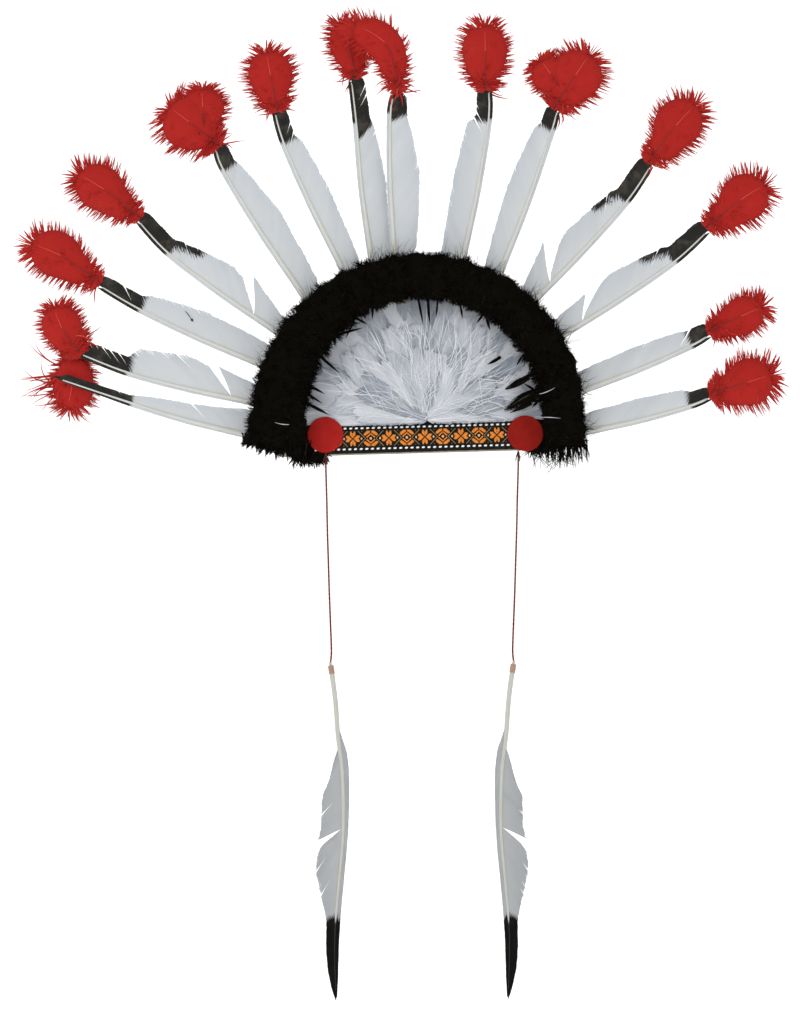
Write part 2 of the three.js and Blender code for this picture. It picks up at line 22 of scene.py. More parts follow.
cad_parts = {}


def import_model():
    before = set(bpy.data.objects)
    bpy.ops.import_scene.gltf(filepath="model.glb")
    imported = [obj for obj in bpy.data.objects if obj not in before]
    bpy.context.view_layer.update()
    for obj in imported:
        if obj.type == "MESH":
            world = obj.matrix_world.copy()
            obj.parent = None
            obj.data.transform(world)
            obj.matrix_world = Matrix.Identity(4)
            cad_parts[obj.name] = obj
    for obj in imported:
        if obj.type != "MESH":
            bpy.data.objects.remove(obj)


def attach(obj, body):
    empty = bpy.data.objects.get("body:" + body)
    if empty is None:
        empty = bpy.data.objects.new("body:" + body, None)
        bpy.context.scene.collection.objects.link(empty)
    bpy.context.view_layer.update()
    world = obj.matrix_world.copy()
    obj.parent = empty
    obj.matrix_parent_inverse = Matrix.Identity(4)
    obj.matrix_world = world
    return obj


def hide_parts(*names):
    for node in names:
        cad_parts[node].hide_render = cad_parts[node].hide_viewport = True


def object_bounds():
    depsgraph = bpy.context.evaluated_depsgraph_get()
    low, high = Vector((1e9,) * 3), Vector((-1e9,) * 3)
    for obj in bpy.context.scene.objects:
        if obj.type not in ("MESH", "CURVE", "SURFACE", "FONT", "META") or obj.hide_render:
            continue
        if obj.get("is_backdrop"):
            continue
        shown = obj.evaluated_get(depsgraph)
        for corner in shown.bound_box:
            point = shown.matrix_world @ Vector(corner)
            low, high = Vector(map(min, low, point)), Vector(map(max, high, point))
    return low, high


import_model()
CAD_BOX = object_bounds()

log = logging.getLogger("headdress")

MM = 0.001
BODY = "root"
FRONT = np.array([0.0, -1.0, 0.0])
GOLDEN_RATIO = (1 + math.sqrt(5)) / 2

Array = np.ndarray
Dice = np.random.Generator
Shape = bmesh.types.BMesh
Piece = bpy.types.Object
Material = bpy.types.Material
Socket = bpy.types.NodeSocket
Pair = tuple[float, float]
Table = Sequence[Pair]
Colour = tuple[float, float, float]
Lift = Callable[[Array], Array]
Ink = Callable[[Array, Array, Array], Array]


# ---------------------------------------------------------------- places and small sums


def polar(bearing: float, reach: float) -> Array:
    """A place in the drawing plane at a bearing in degrees and a reach."""
    turn = math.radians(bearing)
    return np.array([math.cos(turn), math.sin(turn)]) * reach


def rays(begin: Array, turn: Array, reach: Array) -> tuple[Array, Array]:
    """The x and y of places at bearings, in radians, and reaches from where they begin."""
    return begin[..., :1] + reach * np.cos(turn), begin[..., 1:] + reach * np.sin(turn)


def paths(begin: Array, turn: Array, length: Array) -> tuple[Array, Array]:
    """The x and y along paths that take an equal stride at each bearing in turn."""
    stride = length[:, None] / (turn.shape[1] - 1)
    x = begin[:, :1] + np.cumsum(np.cos(turn) * stride, axis=1)
    return x, begin[:, 1:] + np.cumsum(np.sin(turn) * stride, axis=1)


def world(x: Array, y: Array, z: Array) -> Array:
    """Places of the drawing plane, in mm, in the shared frame, in metres."""
    x, y, z = np.broadcast_arrays(x, y, z)
    return np.stack([x, -z, y], axis=-1) * MM


def unit(vectors: Array) -> Array:
    """The vectors at length one."""
    return vectors / np.maximum(np.linalg.norm(vectors, axis=-1, keepdims=True), 1e-12)


def read(table: Table, place: Array | float) -> Array:
    """What a table of places and values holds at a place, with straight runs between its rows."""
    return np.interp(place, *np.array(table).T)


def smooth_noise(places: Array, pitch: float, dice: Dice) -> Array:
    """Random values that change smoothly along a row of places.

    Args:
        places: Places along a line.
        pitch: The distance between two independent values.
        dice: The source of random numbers.

    Returns:
        Values between -1 and 1, one for each place.
    """
    first = places.min()
    knots = dice.uniform(-1, 1, int((places.max() - first) / pitch) + 4)
    return np.interp((places - first) / pitch, np.arange(len(knots)), knots)


class Spine:
    """A smooth line in the drawing plane, measured along its own length."""

    def __init__(self, points: Sequence[Sequence[float]], steps: int = 24) -> None:
        """Samples the line that runs smoothly through the points.

        Args:
            points: Places in the drawing plane, mm.
            steps: Samples between two points.
        """
        knots = np.asarray(points, dtype=float)
        padded = np.vstack([knots[:1], knots, knots[-1:]])
        share = np.linspace(0, 1, steps, endpoint=False)[:, None]
        runs = []
        for before, start, end, after in zip(padded, padded[1:], padded[2:], padded[3:]):
            leave, arrive = (end - before) / 2, (after - start) / 2
            cubic = 2 * start - 2 * end + leave + arrive
            square = 3 * end - 3 * start - 2 * leave - arrive
            runs.append(((cubic * share + square) * share + leave) * share + start)
        self.line = np.vstack([*runs, knots[-1:]])
        strides = np.linalg.norm(np.diff(self.line, axis=0), axis=1)
        self.marks = np.concatenate([[0.0], np.cumsum(strides)])
        self.length = float(self.marks[-1])
        self.ways = unit(np.gradient(self.line, axis=0))

    def at(self, distance: Array | float) -> tuple[Array, Array, Array]:
        """The line at some distances from its start, which may lie beyond its ends.

        Args:
            distance: Distances along the line, mm.

        Returns:
            The points, the directions along the line, and those to its left.
        """
        distance = np.asarray(distance, dtype=float)
        held = np.clip(distance, 0, self.length)
        way, point = (np.stack([np.interp(held, self.marks, values[:, i]) for i in (0, 1)], -1)
                      for values in (self.ways, self.line))
        along = unit(way)
        point = point + along * (distance - held)[..., None]
        return point, along, np.stack([-along[..., 1], along[..., 0]], -1)

    def place(self, along: Array, aside: Array | float, lift: Array | float) -> Array:
        """Places given along, to the left of and in front of the line, in the shared frame."""
        along, aside, lift = np.broadcast_arrays(along, aside, lift)
        point, _, left = self.at(along)
        flat = point + left * aside[..., None]
        return world(flat[..., 0], flat[..., 1], lift)


# ---------------------------------------------------------------- shader graphs


class Wire:
    """A node's output. Sums on it add Math nodes."""

    def __init__(self, graph: "Graph", socket: Socket) -> None:
        """Wraps a socket of a graph."""
        self.graph = graph
        self.socket = socket

    def _sum(self, operation: str, first: "Wire | float", second: "Wire | float") -> "Wire":
        """Adds a Math node for one operation and wraps its output."""
        node = self.graph.node("ShaderNodeMath", {"operation": operation}, {0: first, 1: second})
        return Wire(self.graph, node.outputs[0])

    def __add__(self, other: "Wire | float") -> "Wire":
        """The sum with a value or another wire."""
        return self._sum("ADD", self, other)

    def __mul__(self, other: "Wire | float") -> "Wire":
        """The product with a value or another wire."""
        return self._sum("MULTIPLY", self, other)

    def __sub__(self, other: "Wire | float") -> "Wire":
        """This less the other."""
        return self._sum("SUBTRACT", self, other)

    def eased(self, start: float, end: float) -> "Wire":
        """Runs smoothly from 0 to 1 as the value runs from start to end."""
        settings = {"interpolation_type": "SMOOTHSTEP", "clamp": True}
        node = self.graph.node("ShaderNodeMapRange", settings, {"Value": self, 1: start, 2: end})
        return Wire(self.graph, node.outputs[0])


class Graph:
    """A material's node tree, with one way to add a node."""

    def __init__(self, name: str, roughness: float, gloss: float) -> None:
        """Starts a material with its shader.

        Args:
            name: The name of the material.
            roughness: The shader's roughness.
            gloss: The shader's specular level.
        """
        self.material = bpy.data.materials.new(name)
        self.material.use_nodes = True
        self.tree = self.material.node_tree
        self.tree.nodes.clear()
        shine = {"Roughness": roughness, "Specular IOR Level": gloss}
        self.shader = self.node("ShaderNodeBsdfPrincipled", inputs=shine)
        self.node("ShaderNodeOutputMaterial", inputs={"Surface": self.shader.outputs["BSDF"]})

    def node(self, kind: str, settings: dict | None = None, inputs: dict | None = None) -> bpy.types.Node:
        """Adds a node, with its settings first and its sockets' values or links after.

        Args:
            kind: The type of the node.
            settings: Its properties.
            inputs: Its sockets by name or number, each a value, a wire or a socket.

        Returns:
            The node.
        """
        node = self.tree.nodes.new(kind)
        for name, value in (settings or {}).items():
            setattr(node, name, value)
        self._feed(node, inputs or {})
        return node

    def _feed(self, node: bpy.types.Node, inputs: dict) -> None:
        """Gives a node's sockets their values or links.

        Args:
            node: The node.
            inputs: Its sockets by name or number, each a value, a wire or a socket.
        """
        for name, value in inputs.items():
            value = value.socket if isinstance(value, Wire) else value
            if isinstance(value, Socket):
                self.tree.links.new(value, node.inputs[name])
            else:
                node.inputs[name].default_value = value

    def mark(self, name: str) -> Wire:
        """A value that the mesh holds at its points."""
        return Wire(self, self.node("ShaderNodeAttribute", {"attribute_name": name}).outputs["Fac"])

    def places(self, turn: float = 0.0) -> Socket:
        """Object coordinates, turned in radians about the axis from back to front."""
        source = self.node("ShaderNodeTexCoord").outputs["Object"]
        return self.node("ShaderNodeMapping", inputs={"Vector": source, "Rotation": (0, turn, 0)}).outputs[0]

    def height(self) -> Wire:
        """The height of a place, in metres."""
        return Wire(self, self.node("ShaderNodeSeparateXYZ", inputs={0: self.places()}).outputs[2])

    def noise(self, size: float, detail: float = 2.0) -> Wire:
        """Noise from 0 to 1 with features of a size in mm and a number of finer layers."""
        inputs = {"Vector": self.places(), "Scale": 1 / (size * MM), "Detail": detail, "Roughness": 0.6}
        return Wire(self, self.node("ShaderNodeTexNoise", inputs=inputs).outputs[0])

    def wave(self, pitch: float, turn: float, axis: str) -> Wire:
        """Even bands on object coordinates.

        Args:
            pitch: The distance between two bands, mm.
            turn: The turn of the pattern about Y, in radians.
            axis: The axis across the bands.

        Returns:
            Its value, from 0 to 1.
        """
        settings = {"wave_type": "BANDS", "bands_direction": axis, "wave_profile": "SIN"}
        inputs = {"Vector": self.places(turn), "Scale": math.pi / (10 * pitch * MM), "Distortion": 0.0}
        return Wire(self, self.node("ShaderNodeTexWave", settings, inputs).outputs["Fac"])

    def blend(self, share: Wire | float, first: Colour | Socket, second: Colour | Socket) -> Socket:
        """Mixes two display colours or colour sockets by the share of the second."""
        first, second = (shade(colour) if isinstance(colour, tuple) else colour for colour in (first, second))
        settings = {"data_type": "RGBA", "clamp_factor": True}
        return self.node("ShaderNodeMix", settings, {0: share, 6: first, 7: second}).outputs[2]

    def finish(
        self, base: Socket, roughness: Wire | None = None, bump: Wire | None = None, height: float = 0.0
    ) -> Material:
        """Connects the shader's varying sockets.

        Args:
            base: The base colour.
            roughness: The roughness where it varies.
            bump: The relief, from 0 to 1.
            height: The height of the relief, mm.

        Returns:
            The finished material.
        """
        links = {"Base Color": base}
        if roughness is not None:
            links["Roughness"] = roughness
        if bump is not None:
            relief = self.node("ShaderNodeBump", inputs={"Height": bump, "Distance": height * MM})
            links["Normal"] = relief.outputs["Normal"]
        self._feed(self.shader, links)
        return self.material


def shade(colour: Colour) -> tuple[float, ...]:
    """A display colour, from 0 to 255, as a linear colour with alpha."""
    parts = [value / 255 for value in colour]
    return (*[part / 12.92 if part <= 0.04045 else ((part + 0.055) / 1.055) ** 2.4 for part in parts], 1.0)


# ---------------------------------------------------------------- finishes


BAND_TILT = math.radians(1.6)


@dataclass(frozen=True)
class BarbFinish:
    """The barbs of a feather: a colour from shaft to tip, a tone each, and a dyed share."""

    name: str
    near: Colour
    far: Colour
    light: Colour
    dark: Colour
    dyed: Colour
    spread: float = 0.7
    roughness: float = 0.7
    grain: float = 1.2
    gloss: float = 0.2
    patch: Colour = (56, 51, 45)

    def material(self) -> Material:
        """Builds the material.

        Returns:
            The material, which reads the marks tone, ink and reach.
        """
        graph = Graph(self.name, self.roughness, self.gloss)
        base = graph.blend(graph.mark("reach"), self.near, self.far)
        cloud = graph.noise(26.0) - 0.5
        tone = graph.mark("tone") + (graph.noise(self.grain, 3.0) - 0.5) * 0.5 + cloud * 0.8
        base = graph.blend((tone * self.spread).eased(0.0, 1.0), base, self.light)
        base = graph.blend((tone * -self.spread).eased(0.0, 1.0), base, self.dark)
        dye = graph.blend(graph.noise(10.0).eased(0.45, 0.75), self.dyed, self.patch)
        base = graph.blend(graph.mark("ink"), base, dye)
        return graph.finish(base, graph.noise(self.grain * 3) * 0.2 + (self.roughness - 0.1))


@dataclass(frozen=True)
class HornFinish:
    """A shaft: horn with fine streaks along it and darker patches, dyed below a height in mm."""

    name: str
    body: Colour
    patch: Colour
    dyed: Colour = (30, 30, 28)
    dyed_below: float | None = None
    roughness: float = 0.5
    dyed_edge: float = 6.0

    def material(self) -> Material:
        """Builds the material.

        Returns:
            The material.
        """
        graph = Graph(self.name, self.roughness, 0.25)
        streak = graph.noise(1.6, 3.0)
        base = graph.blend(graph.noise(14.0).eased(0.45, 0.75) * 0.5, self.body, self.patch)
        base = graph.blend(streak.eased(0.4, 0.8) * 0.35, base, self.patch)
        if self.dyed_below is not None:
            low = graph.height().eased(self.dyed_below * MM, (self.dyed_below - self.dyed_edge) * MM)
            base = graph.blend(low, base, self.dyed)
        return graph.finish(base, streak * 0.25 + (self.roughness - 0.1), streak, 0.06)


@dataclass(frozen=True)
class FeltFinish:
    """Pressed felt: matted fibres with a clouded colour."""

    name: str
    body: Colour
    light: Colour
    dark: Colour

    def material(self) -> Material:
        """Builds the material.

        Returns:
            The material.
        """
        graph = Graph(self.name, 1.0, 0.05)
        fibre, mat = graph.noise(0.35, 4.0), graph.noise(1.8, 3.0)
        base = graph.blend(graph.noise(11.0).eased(0.35, 0.7) * 0.6, self.body, self.dark)
        base = graph.blend(fibre.eased(0.45, 0.75) * 0.5, base, self.light)
        return graph.finish(base, bump=fibre * 0.5 + mat * 0.5, height=0.25)


@dataclass(frozen=True)
class WovenFinish:
    """A close plain weave: warp and weft bands that cross, at a pitch in mm each."""

    name: str
    body: Colour
    thread: Colour
    turn: float
    warp: float
    weft: float

    def material(self) -> Material:
        """Builds the material.

        Returns:
            The material.
        """
        graph = Graph(self.name, 0.9, 0.06)
        weave = graph.wave(self.warp, self.turn, "X") * 0.5 + graph.wave(self.weft, self.turn, "Z") * 0.5
        base = graph.blend(weave.eased(0.45, 1.0) * 0.8, self.body, self.thread)
        base = graph.blend(graph.noise(7.0, 3.0).eased(0.4, 0.75) * 0.25, base, self.thread)
        return graph.finish(base, graph.noise(2.0) * 0.2 + 0.65, weave, 0.18)


@dataclass(frozen=True)
class FlossFinish:
    """Embroidery floss: soft thread with fine strands along its length."""

    name: str
    body: Colour
    dark: Colour

    def material(self) -> Material:
        """Builds the material.

        Returns:
            The material.
        """
        graph = Graph(self.name, 0.6, 0.2)
        strand, uneven = graph.wave(0.16, BAND_TILT, "Z"), graph.noise(1.5, 3.0)
        base = graph.blend(strand * 0.22, self.body, self.dark)
        base = graph.blend(uneven.eased(0.5, 0.8) * 0.45, base, self.dark)
        return graph.finish(base, uneven * 0.3 + 0.35, strand, 0.05)


@dataclass(frozen=True)
class CordFinish:
    """Twisted thread whose dye changes from a lower to an upper height, mm."""

    name: str
    bright: Colour
    dull: Colour
    upper: float
    lower: float
    deep: Colour = (84, 60, 50)

    def material(self) -> Material:
        """Builds the material.

        Returns:
            The material.
        """
        graph = Graph(self.name, 0.8, 0.15)
        fibre = graph.noise(0.5, 3.0)
        rise = graph.height().eased(self.lower * MM, self.upper * MM)
        base = graph.blend(rise, self.bright, self.dull)
        base = graph.blend(fibre.eased(0.45, 0.8) * 0.4, base, self.deep)
        return graph.finish(base, fibre * 0.2 + 0.6, fibre, 0.08)


class Finish(Enum):
    """The finishes, each with the material slot of the pieces that wear it."""

    # Painted shade: the white vane runs from a lighter colour at the shaft to a greyer, bluer one at the barb
    # tips, standing in for the shading across the vane.
    WHITE_VANE = "tall_feather", BarbFinish(
        "white vane", (186, 188, 189), (178, 183, 188), (204, 206, 208), (156, 161, 168), (24, 23, 20),
    )
    DROP_VANE = "drop_feather", BarbFinish(
        "drop feather vane", (160, 162, 162), (150, 153, 156), (180, 182, 182), (130, 134, 139), (7, 7, 6),
        gloss=0.08, patch=(14, 14, 12),
    )
    # Painted highlight and shade: the light and dark colours, which each hackle takes by its tone, stand in
    # for lit hackles and for the grey shade where hackles overlap; the far colour paints the barb tips a
    # little darker.
    HACKLE = "white_hackle", BarbFinish(
        "white hackle", (184, 187, 193), (175, 179, 186), (214, 216, 219), (122, 130, 141), (30, 30, 30),
        0.85,
    )
    # Painted shade and light: the plume's barbs run from a darker red by the shaft, painted shade, to a
    # lighter red at their thin tips, painted light shining through them.
    RED_PLUME = "red_plume", BarbFinish(
        "red plume", (155, 33, 29), (164, 37, 32), (192, 84, 70), (84, 18, 16), (206, 150, 122),
        0.7, 0.9, 2.5, 0.08,
    )
    # The boa's lighter barbs, set at random by tone, are partly the fluff's own tone and partly painted
    # highlights of its sheen.
    BLACK_BOA = "black_boa", BarbFinish(
        "black boa", (11, 9, 6), (13, 11, 8), (26, 24, 20), (5, 4, 3), (8, 7, 6), 0.8, 1.0, 2.5, 0.02,
    )
    CREAM_SHAFT = "tall_feather", HornFinish("cream shaft", (190, 191, 186), (182, 182, 170))
    DROP_SHAFT = "drop_feather", HornFinish(
        "drop feather shaft", (176, 177, 172), (172, 170, 150), (30, 30, 27), -408.0,
    )
    PLUME_SHAFT = "red_plume", HornFinish("plume shaft", (96, 24, 20), (60, 18, 16))
    CORD = "red_cord", CordFinish("red cord", (104, 12, 6), (100, 38, 24), -40.0, -176.0, (52, 14, 10))
    KNOT = "red_cord", CordFinish("cord knot", (66, 44, 36), (58, 42, 36), 0.0, -40.0, (34, 22, 18))
    BINDING = "drop_feather", CordFinish("thread binding", (176, 146, 130), (168, 134, 116), 0.0, -400.0)
    RED_FELT = "red_felt", FeltFinish("red felt", (160, 34, 30), (176, 46, 40), (146, 28, 25))
    DEEP_RED_FELT = "red_felt", FeltFinish("deep red felt", (138, 29, 23), (156, 40, 34), (122, 24, 20))
    BACKING = "backing_felt", FeltFinish("backing felt", (150, 144, 130), (182, 176, 162), (118, 112, 98))
    RIBBON = "ribbon", WovenFinish("ribbon ground", (14, 14, 12), (52, 50, 42), BAND_TILT, 0.55, 0.45)
    ELASTIC = "elastic", WovenFinish("elastic", (24, 24, 24), (66, 66, 64), 0.0, 0.9, 1.25)
    ORANGE_FLOSS = "ribbon", FlossFinish("orange floss", (233, 146, 58), (190, 92, 38))
    BEIGE_FLOSS = "ribbon", FlossFinish("beige floss", (168, 146, 104), (120, 98, 66))
    CREAM_FLOSS = "ribbon", FlossFinish("cream floss", (236, 206, 170), (196, 150, 110))
    GREY_FLOSS = "ribbon", FlossFinish("grey floss", (120, 108, 92), (88, 76, 62))
    WHITE_FLOSS = "ribbon", FlossFinish("white floss", (238, 240, 242), (196, 202, 210))

    @property
    def slot(self) -> str:
        """The material slot."""
        return self.value[0]

    @cache
    def material(self) -> Material:
        """The material, which is made at the first call."""
        return self.value[1].material()


# ---------------------------------------------------------------- meshes


class Strands:
    """Collects thin tapering strands and makes one mesh of them."""

    def __init__(self) -> None:
        """Starts with no strands."""
        self._places: list[Array] = []
        self._faces: list[Array] = []
        self._marks: dict[str, list[Array]] = {"tone": [], "ink": [], "reach": []}
        self._count = 0

    def add(
        self, lines: Array, widths: Array, tone: Array | float = 0.0, facing: Array = FRONT,
        ink: Array | float = 0.0,
    ) -> None:
        """Adds strands of equally many points.

        Args:
            lines: The middle lines, as strands by points by coordinates, in metres.
            widths: The widths at the points, mm.
            tone: How light each strand is, from -1 to 1.
            facing: The direction that each strand's flat side faces.
            ink: The dyed share at each point.
        """
        lines = lines.reshape(-1, *lines.shape[-2:])
        count, points, _ = lines.shape
        along = unit(np.gradient(lines, axis=1))
        across = unit(np.cross(along, np.broadcast_to(facing, lines.shape)))
        half = across * (widths * MM / 2)[..., None]
        self._places.append(np.stack([lines + half, lines - half], axis=2).reshape(-1, 3))
        corner = self._count + np.arange(count * points * 2).reshape(count, points, 2)
        faces = [corner[:, :-1, 0], corner[:, 1:, 0], corner[:, 1:, 1], corner[:, :-1, 1]]
        self._faces.append(np.stack(faces, axis=-1).reshape(-1, 4))
        for name, value in (("tone", tone), ("ink", ink), ("reach", np.linspace(0, 1, points)[None])):
            value = np.asarray(value, dtype=float)
            value = value[:, None] if value.ndim == 1 else value
            self._marks[name].append(np.repeat(np.broadcast_to(value, (count, points)), 2))
        self._count += count * points * 2

    def piece(self, name: str, finish: Finish, *nodes: str) -> Piece:
        """Makes the mesh.

        Args:
            name: The name of the piece.
            finish: Its finish.
            nodes: The nodes that it replaces.

        Returns:
            The new piece.
        """
        places, faces = np.concatenate(self._places), np.concatenate(self._faces)
        mesh = bpy.data.meshes.new(name)
        mesh.vertices.add(len(places))
        mesh.vertices.foreach_set("co", places.ravel())
        mesh.loops.add(faces.size)
        mesh.loops.foreach_set("vertex_index", faces.ravel())
        mesh.polygons.add(len(faces))
        mesh.polygons.foreach_set("loop_start", np.arange(0, faces.size, 4))
        mesh.polygons.foreach_set("use_smooth", np.ones(len(faces), dtype=bool))
        for mark, values in self._marks.items():
            layer = mesh.attributes.new(mark, "FLOAT", "POINT")
            layer.data.foreach_set("value", np.concatenate(values))
        mesh.update(calc_edges=True)
        return settled(in_scene(name, mesh, finish.material()), finish.slot, *nodes)


def in_scene(name: str, mesh: bpy.types.Mesh, *materials: Material) -> Piece:
    """Puts a mesh in the scene.

    Args:
        name: The name of the piece.
        mesh: Its mesh, already in place.
        materials: Its materials, in the order of the mesh's material numbers.

    Returns:
        The new object.
    """
    piece = bpy.data.objects.new(name, mesh)
    for material in materials:
        mesh.materials.append(material)
    bpy.context.collection.objects.link(piece)
    return piece


def settled(piece: Piece, slot: str, *nodes: str) -> Piece:
    """Attaches a piece to the body that it rides on and hides the solids that it stands for.

    Args:
        piece: The finished piece.
        slot: Not used.
        nodes: The nodes that it replaces.

    Returns:
        The same piece.
    """
    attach(piece, BODY)
    if nodes:
        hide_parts(*nodes)
    log.info("%s: %d faces", piece.name, len(piece.data.polygons))
    return piece


def smooth_mesh(name: str, shape: Shape) -> bpy.types.Mesh:
    """Turns a bmesh in metres into a smooth-shaded mesh and frees it.

    Args:
        name: The name of the mesh.
        shape: The shape, already in place.

    Returns:
        The mesh.
    """
    bmesh.ops.recalc_face_normals(shape, faces=shape.faces)
    for face in shape.faces:
        face.smooth = True
    mesh = bpy.data.meshes.new(name)
    shape.to_mesh(mesh)
    shape.free()
    return mesh


def solid_piece(name: str, shape: Shape, finish: Finish, *nodes: str) -> Piece:
    """Makes a smooth piece of a bmesh in metres, which replaces some nodes."""
    return settled(in_scene(name, smooth_mesh(name, shape), finish.material()), finish.slot, *nodes)


def add_tube(
    shape: Shape, line: Array, across: Array | float, deep: Array | float, sides: int, twist: float = 0.0
) -> None:
    """Adds a closed tube along a line: a ring at each point, each bridged to the next.

    Args:
        shape: The bmesh that takes the tube.
        line: The points that it follows, in metres.
        across: Half its width in the drawing plane at each point, mm.
        deep: Half its depth at each point, mm.
        sides: The sides of its rings.
        twist: How far the rings turn from the first to the last, in radians.
    """
    last = len(line) - 1
    across, deep = np.broadcast_to(across, last + 1), np.broadcast_to(deep, last + 1)
    before = None
    for step, (point, way) in enumerate(zip(line, unit(np.gradient(line, axis=0)))):
        side = unit(np.cross(way, FRONT))
        axes = Matrix((side, np.cross(side, way), way)).transposed().to_4x4()
        turn = Matrix.Rotation(twist * step / last, 4, "Z")
        size = Matrix.Diagonal((across[step] * MM, deep[step] * MM, 1, 1))
        ring = bmesh.ops.create_circle(
            shape, cap_ends=step in (0, last), segments=sides, radius=1,
            matrix=Matrix.Translation(point) @ axes @ turn @ size,
        )
        edges = {edge for vert in ring["verts"] for edge in vert.link_edges}
        edges = [edge for edge in edges if all(vert in ring["verts"] for vert in edge.verts)]
        if before:
            bmesh.ops.bridge_loops(shape, edges=before + edges)
        before = edges


def tube_piece(
    name: str, finish: Finish, line: Array, across: Array | float, deep: Array | float, sides: int,
    *nodes: str, twist: float = 0.0,
) -> Piece:
    """Makes a piece of one tube, with add_tube's sizes, which replaces some nodes."""
    shape = bmesh.new()
    add_tube(shape, line, across, deep, sides, twist)
    return solid_piece(name, shape, finish, *nodes)


def upright(shape: Shape, place: Pair, front: float) -> None:
    """Stands a flat shape up to face the front, with its middle at a place and height, mm."""
    stand = Matrix.Translation(world(place[0], place[1], front)) @ Matrix.Rotation(math.pi / 2, 4, "X")
    bmesh.ops.transform(shape, matrix=stand, verts=shape.verts)


def thicken(shape: Shape, depth: float) -> None:
    """Gives a sheet that faces the front a depth in mm behind its face."""
    bmesh.ops.recalc_face_normals(shape, faces=shape.faces)
    if shape.faces[0].normal.y > 0:
        bmesh.ops.reverse_faces(shape, faces=shape.faces)
    bmesh.ops.solidify(shape, geom=shape.faces[:], thickness=depth * MM)


# ---------------------------------------------------------------- layers, from back to front


@dataclass(frozen=True)
class Layers:
    """The heights of the layers over the back face of the backing, mm."""

    backing: float = 2.0
    on_backing: float = 2.3
    on_ribbon: float = 3.6
    back_quills: float = 4.2
    front_quills: float = 8.3
    boa: float = 25.0
    hang: float = 4.85


LAYERS = Layers()
ROSETTE_LEFT = (-82.0, 1.7)
ROSETTE_RIGHT = (87.5, 2.8)
ARCH_CENTRE = np.array([-0.8, 15.3])
LEFT_FEATHERS = 8


# ---------------------------------------------------------------- tall feathers


@dataclass(frozen=True)
class Slit:
    """A place where barbs part: its distance past the boa's edge and its opening, mm."""

    at: float
    gap: float


@dataclass(frozen=True)
class Lobe:
    """A split near the foot of a vane, whose lower part stands out as a lobe, mm."""

    root: float
    deep: float
    tip: float
    out: float


@dataclass(frozen=True)
class Speck:
    """A dark stroke on a vane: its start before the black tip and out from the shaft, and its turn.

    Sizes are in mm, and the turn in degrees from the shaft's direction.
    """

    before: float
    out: float
    turn: float
    length: float
    width: float


SPECKS = (Speck(9, 9, 60, 1.2, 1.2), Speck(12, 13, 40, 1.5, 0.9), Speck(3, 3, 20, 2.2, 0.5))


@dataclass(frozen=True)
class Feather:
    """A tall feather: where it stands, its lengths and its widths, in mm and degrees."""

    seat: float
    reach: float
    aim: float
    white: float
    black: float
    turn: float
    base: float
    belly: float
    neck: float
    tip: float
    lobe: Lobe | None = None
    slits: tuple[Slit, ...] = ()
    ragged: float = 0.0
    frayed: float = 0.0
    slant: float = 0.12
    specks: tuple[Speck, ...] = ()


FEATHERS = (
    Feather(184.8, 152, 164.5, 98, 67, 3, 22, 14, 8, 6, slits=(Slit(28, 3.0), Slit(104, 1.6)), frayed=0.15),
    Feather(
        174.3, 146, 166.5, 107, 45, 8, 16, 27, 22, 13, Lobe(20, 4, 32, 24),
        (Slit(33, 3.0), Slit(103, 2.6), Slit(110, 2.8), Slit(117, 2.4), Slit(124, 2.4), Slit(131, 2.0)),
        frayed=0.2,
    ),
    Feather(161.2, 143, 155.5, 114, 41, 6, 18, 23, 15, 11, slits=(Slit(66, 0.7), Slit(121, 3.2)), frayed=0.1,
            specks=(Speck(35, 16, 208, 10, 0.7), Speck(43, 11.6, 208, 2.4, 2.2))),
    Feather(148.9, 143, 144, 114, 39, 11, 12, 25, 15, 12, Lobe(28, 4, 43, 28), (Slit(86, 2.2),), 25, 0.1,
            specks=SPECKS),
    Feather(133.2, 150, 122.5, 122, 20, 13, 17, 23, 15, 12, slits=(Slit(102, 0.8),)),
    Feather(117.6, 145, 115, 117, 29, 9, 16, 20, 15, 11, slits=(Slit(108, 2.6), Slit(117, 2.6)), frayed=0.1),
    Feather(
        107.3, 140, 96.5, 118, 39, 0, 17, 21, 15, 12, slits=(Slit(88, 1.0), Slit(127, 3.0), Slit(134, 2.4)),
        frayed=0.15, slant=0.7,
    ),
    Feather(99.0, 147, 91.5, 114, 17, 11, 19, 25, 15, 14, slits=(Slit(40, 0.6),), slant=0.35),
    Feather(
        75.4, 141, 79.5, 120, 27, 10, 19, 22, 18, 11, slits=(Slit(104, 3.0), Slit(111, 3.2), Slit(117, 2.0)),
        frayed=0.15,
    ),
    Feather(61.7, 142, 70, 129, 17, 6, 14, 21, 15, 11, slits=(Slit(60, 0.5), Slit(116, 1.6))),
    Feather(46.3, 137, 47, 118, 38, 9, 14, 22, 16, 13, Lobe(30, 7, 43, 29), (Slit(88, 2.2),), 25, 0.1,
            specks=SPECKS),
    Feather(30.5, 137, 33.5, 117, 39, 9, 14, 23, 16, 13, Lobe(30, 7, 37, 20), (Slit(88, 2.2),), 25, 0.1,
            specks=SPECKS),
    Feather(9.9, 139, 22.5, 100, 19, 8, 16, 19, 15, 13, slits=(Slit(88, 4.0), Slit(40, 0.5)), slant=0.0),
    Feather(-4.5, 140, 14, 92, 19, 9, 15, 18, 15, 11, slits=(Slit(30, 0.6), Slit(58, 0.6)), frayed=0.08),
)


def shingled(lines: Array, tilt: Array | float) -> Array:
    """Faces strands to the front like roof tiles, each turned a little about its own line.

    Args:
        lines: The strands' middle lines.
        tilt: The turn of each strand, in radians.

    Returns:
        The direction that each strand faces.
    """
    across = unit(np.cross(unit(lines[:, -1] - lines[:, 0]), FRONT))
    return unit(FRONT + across * np.broadcast_to(tilt, len(lines))[:, None])[:, None, :]


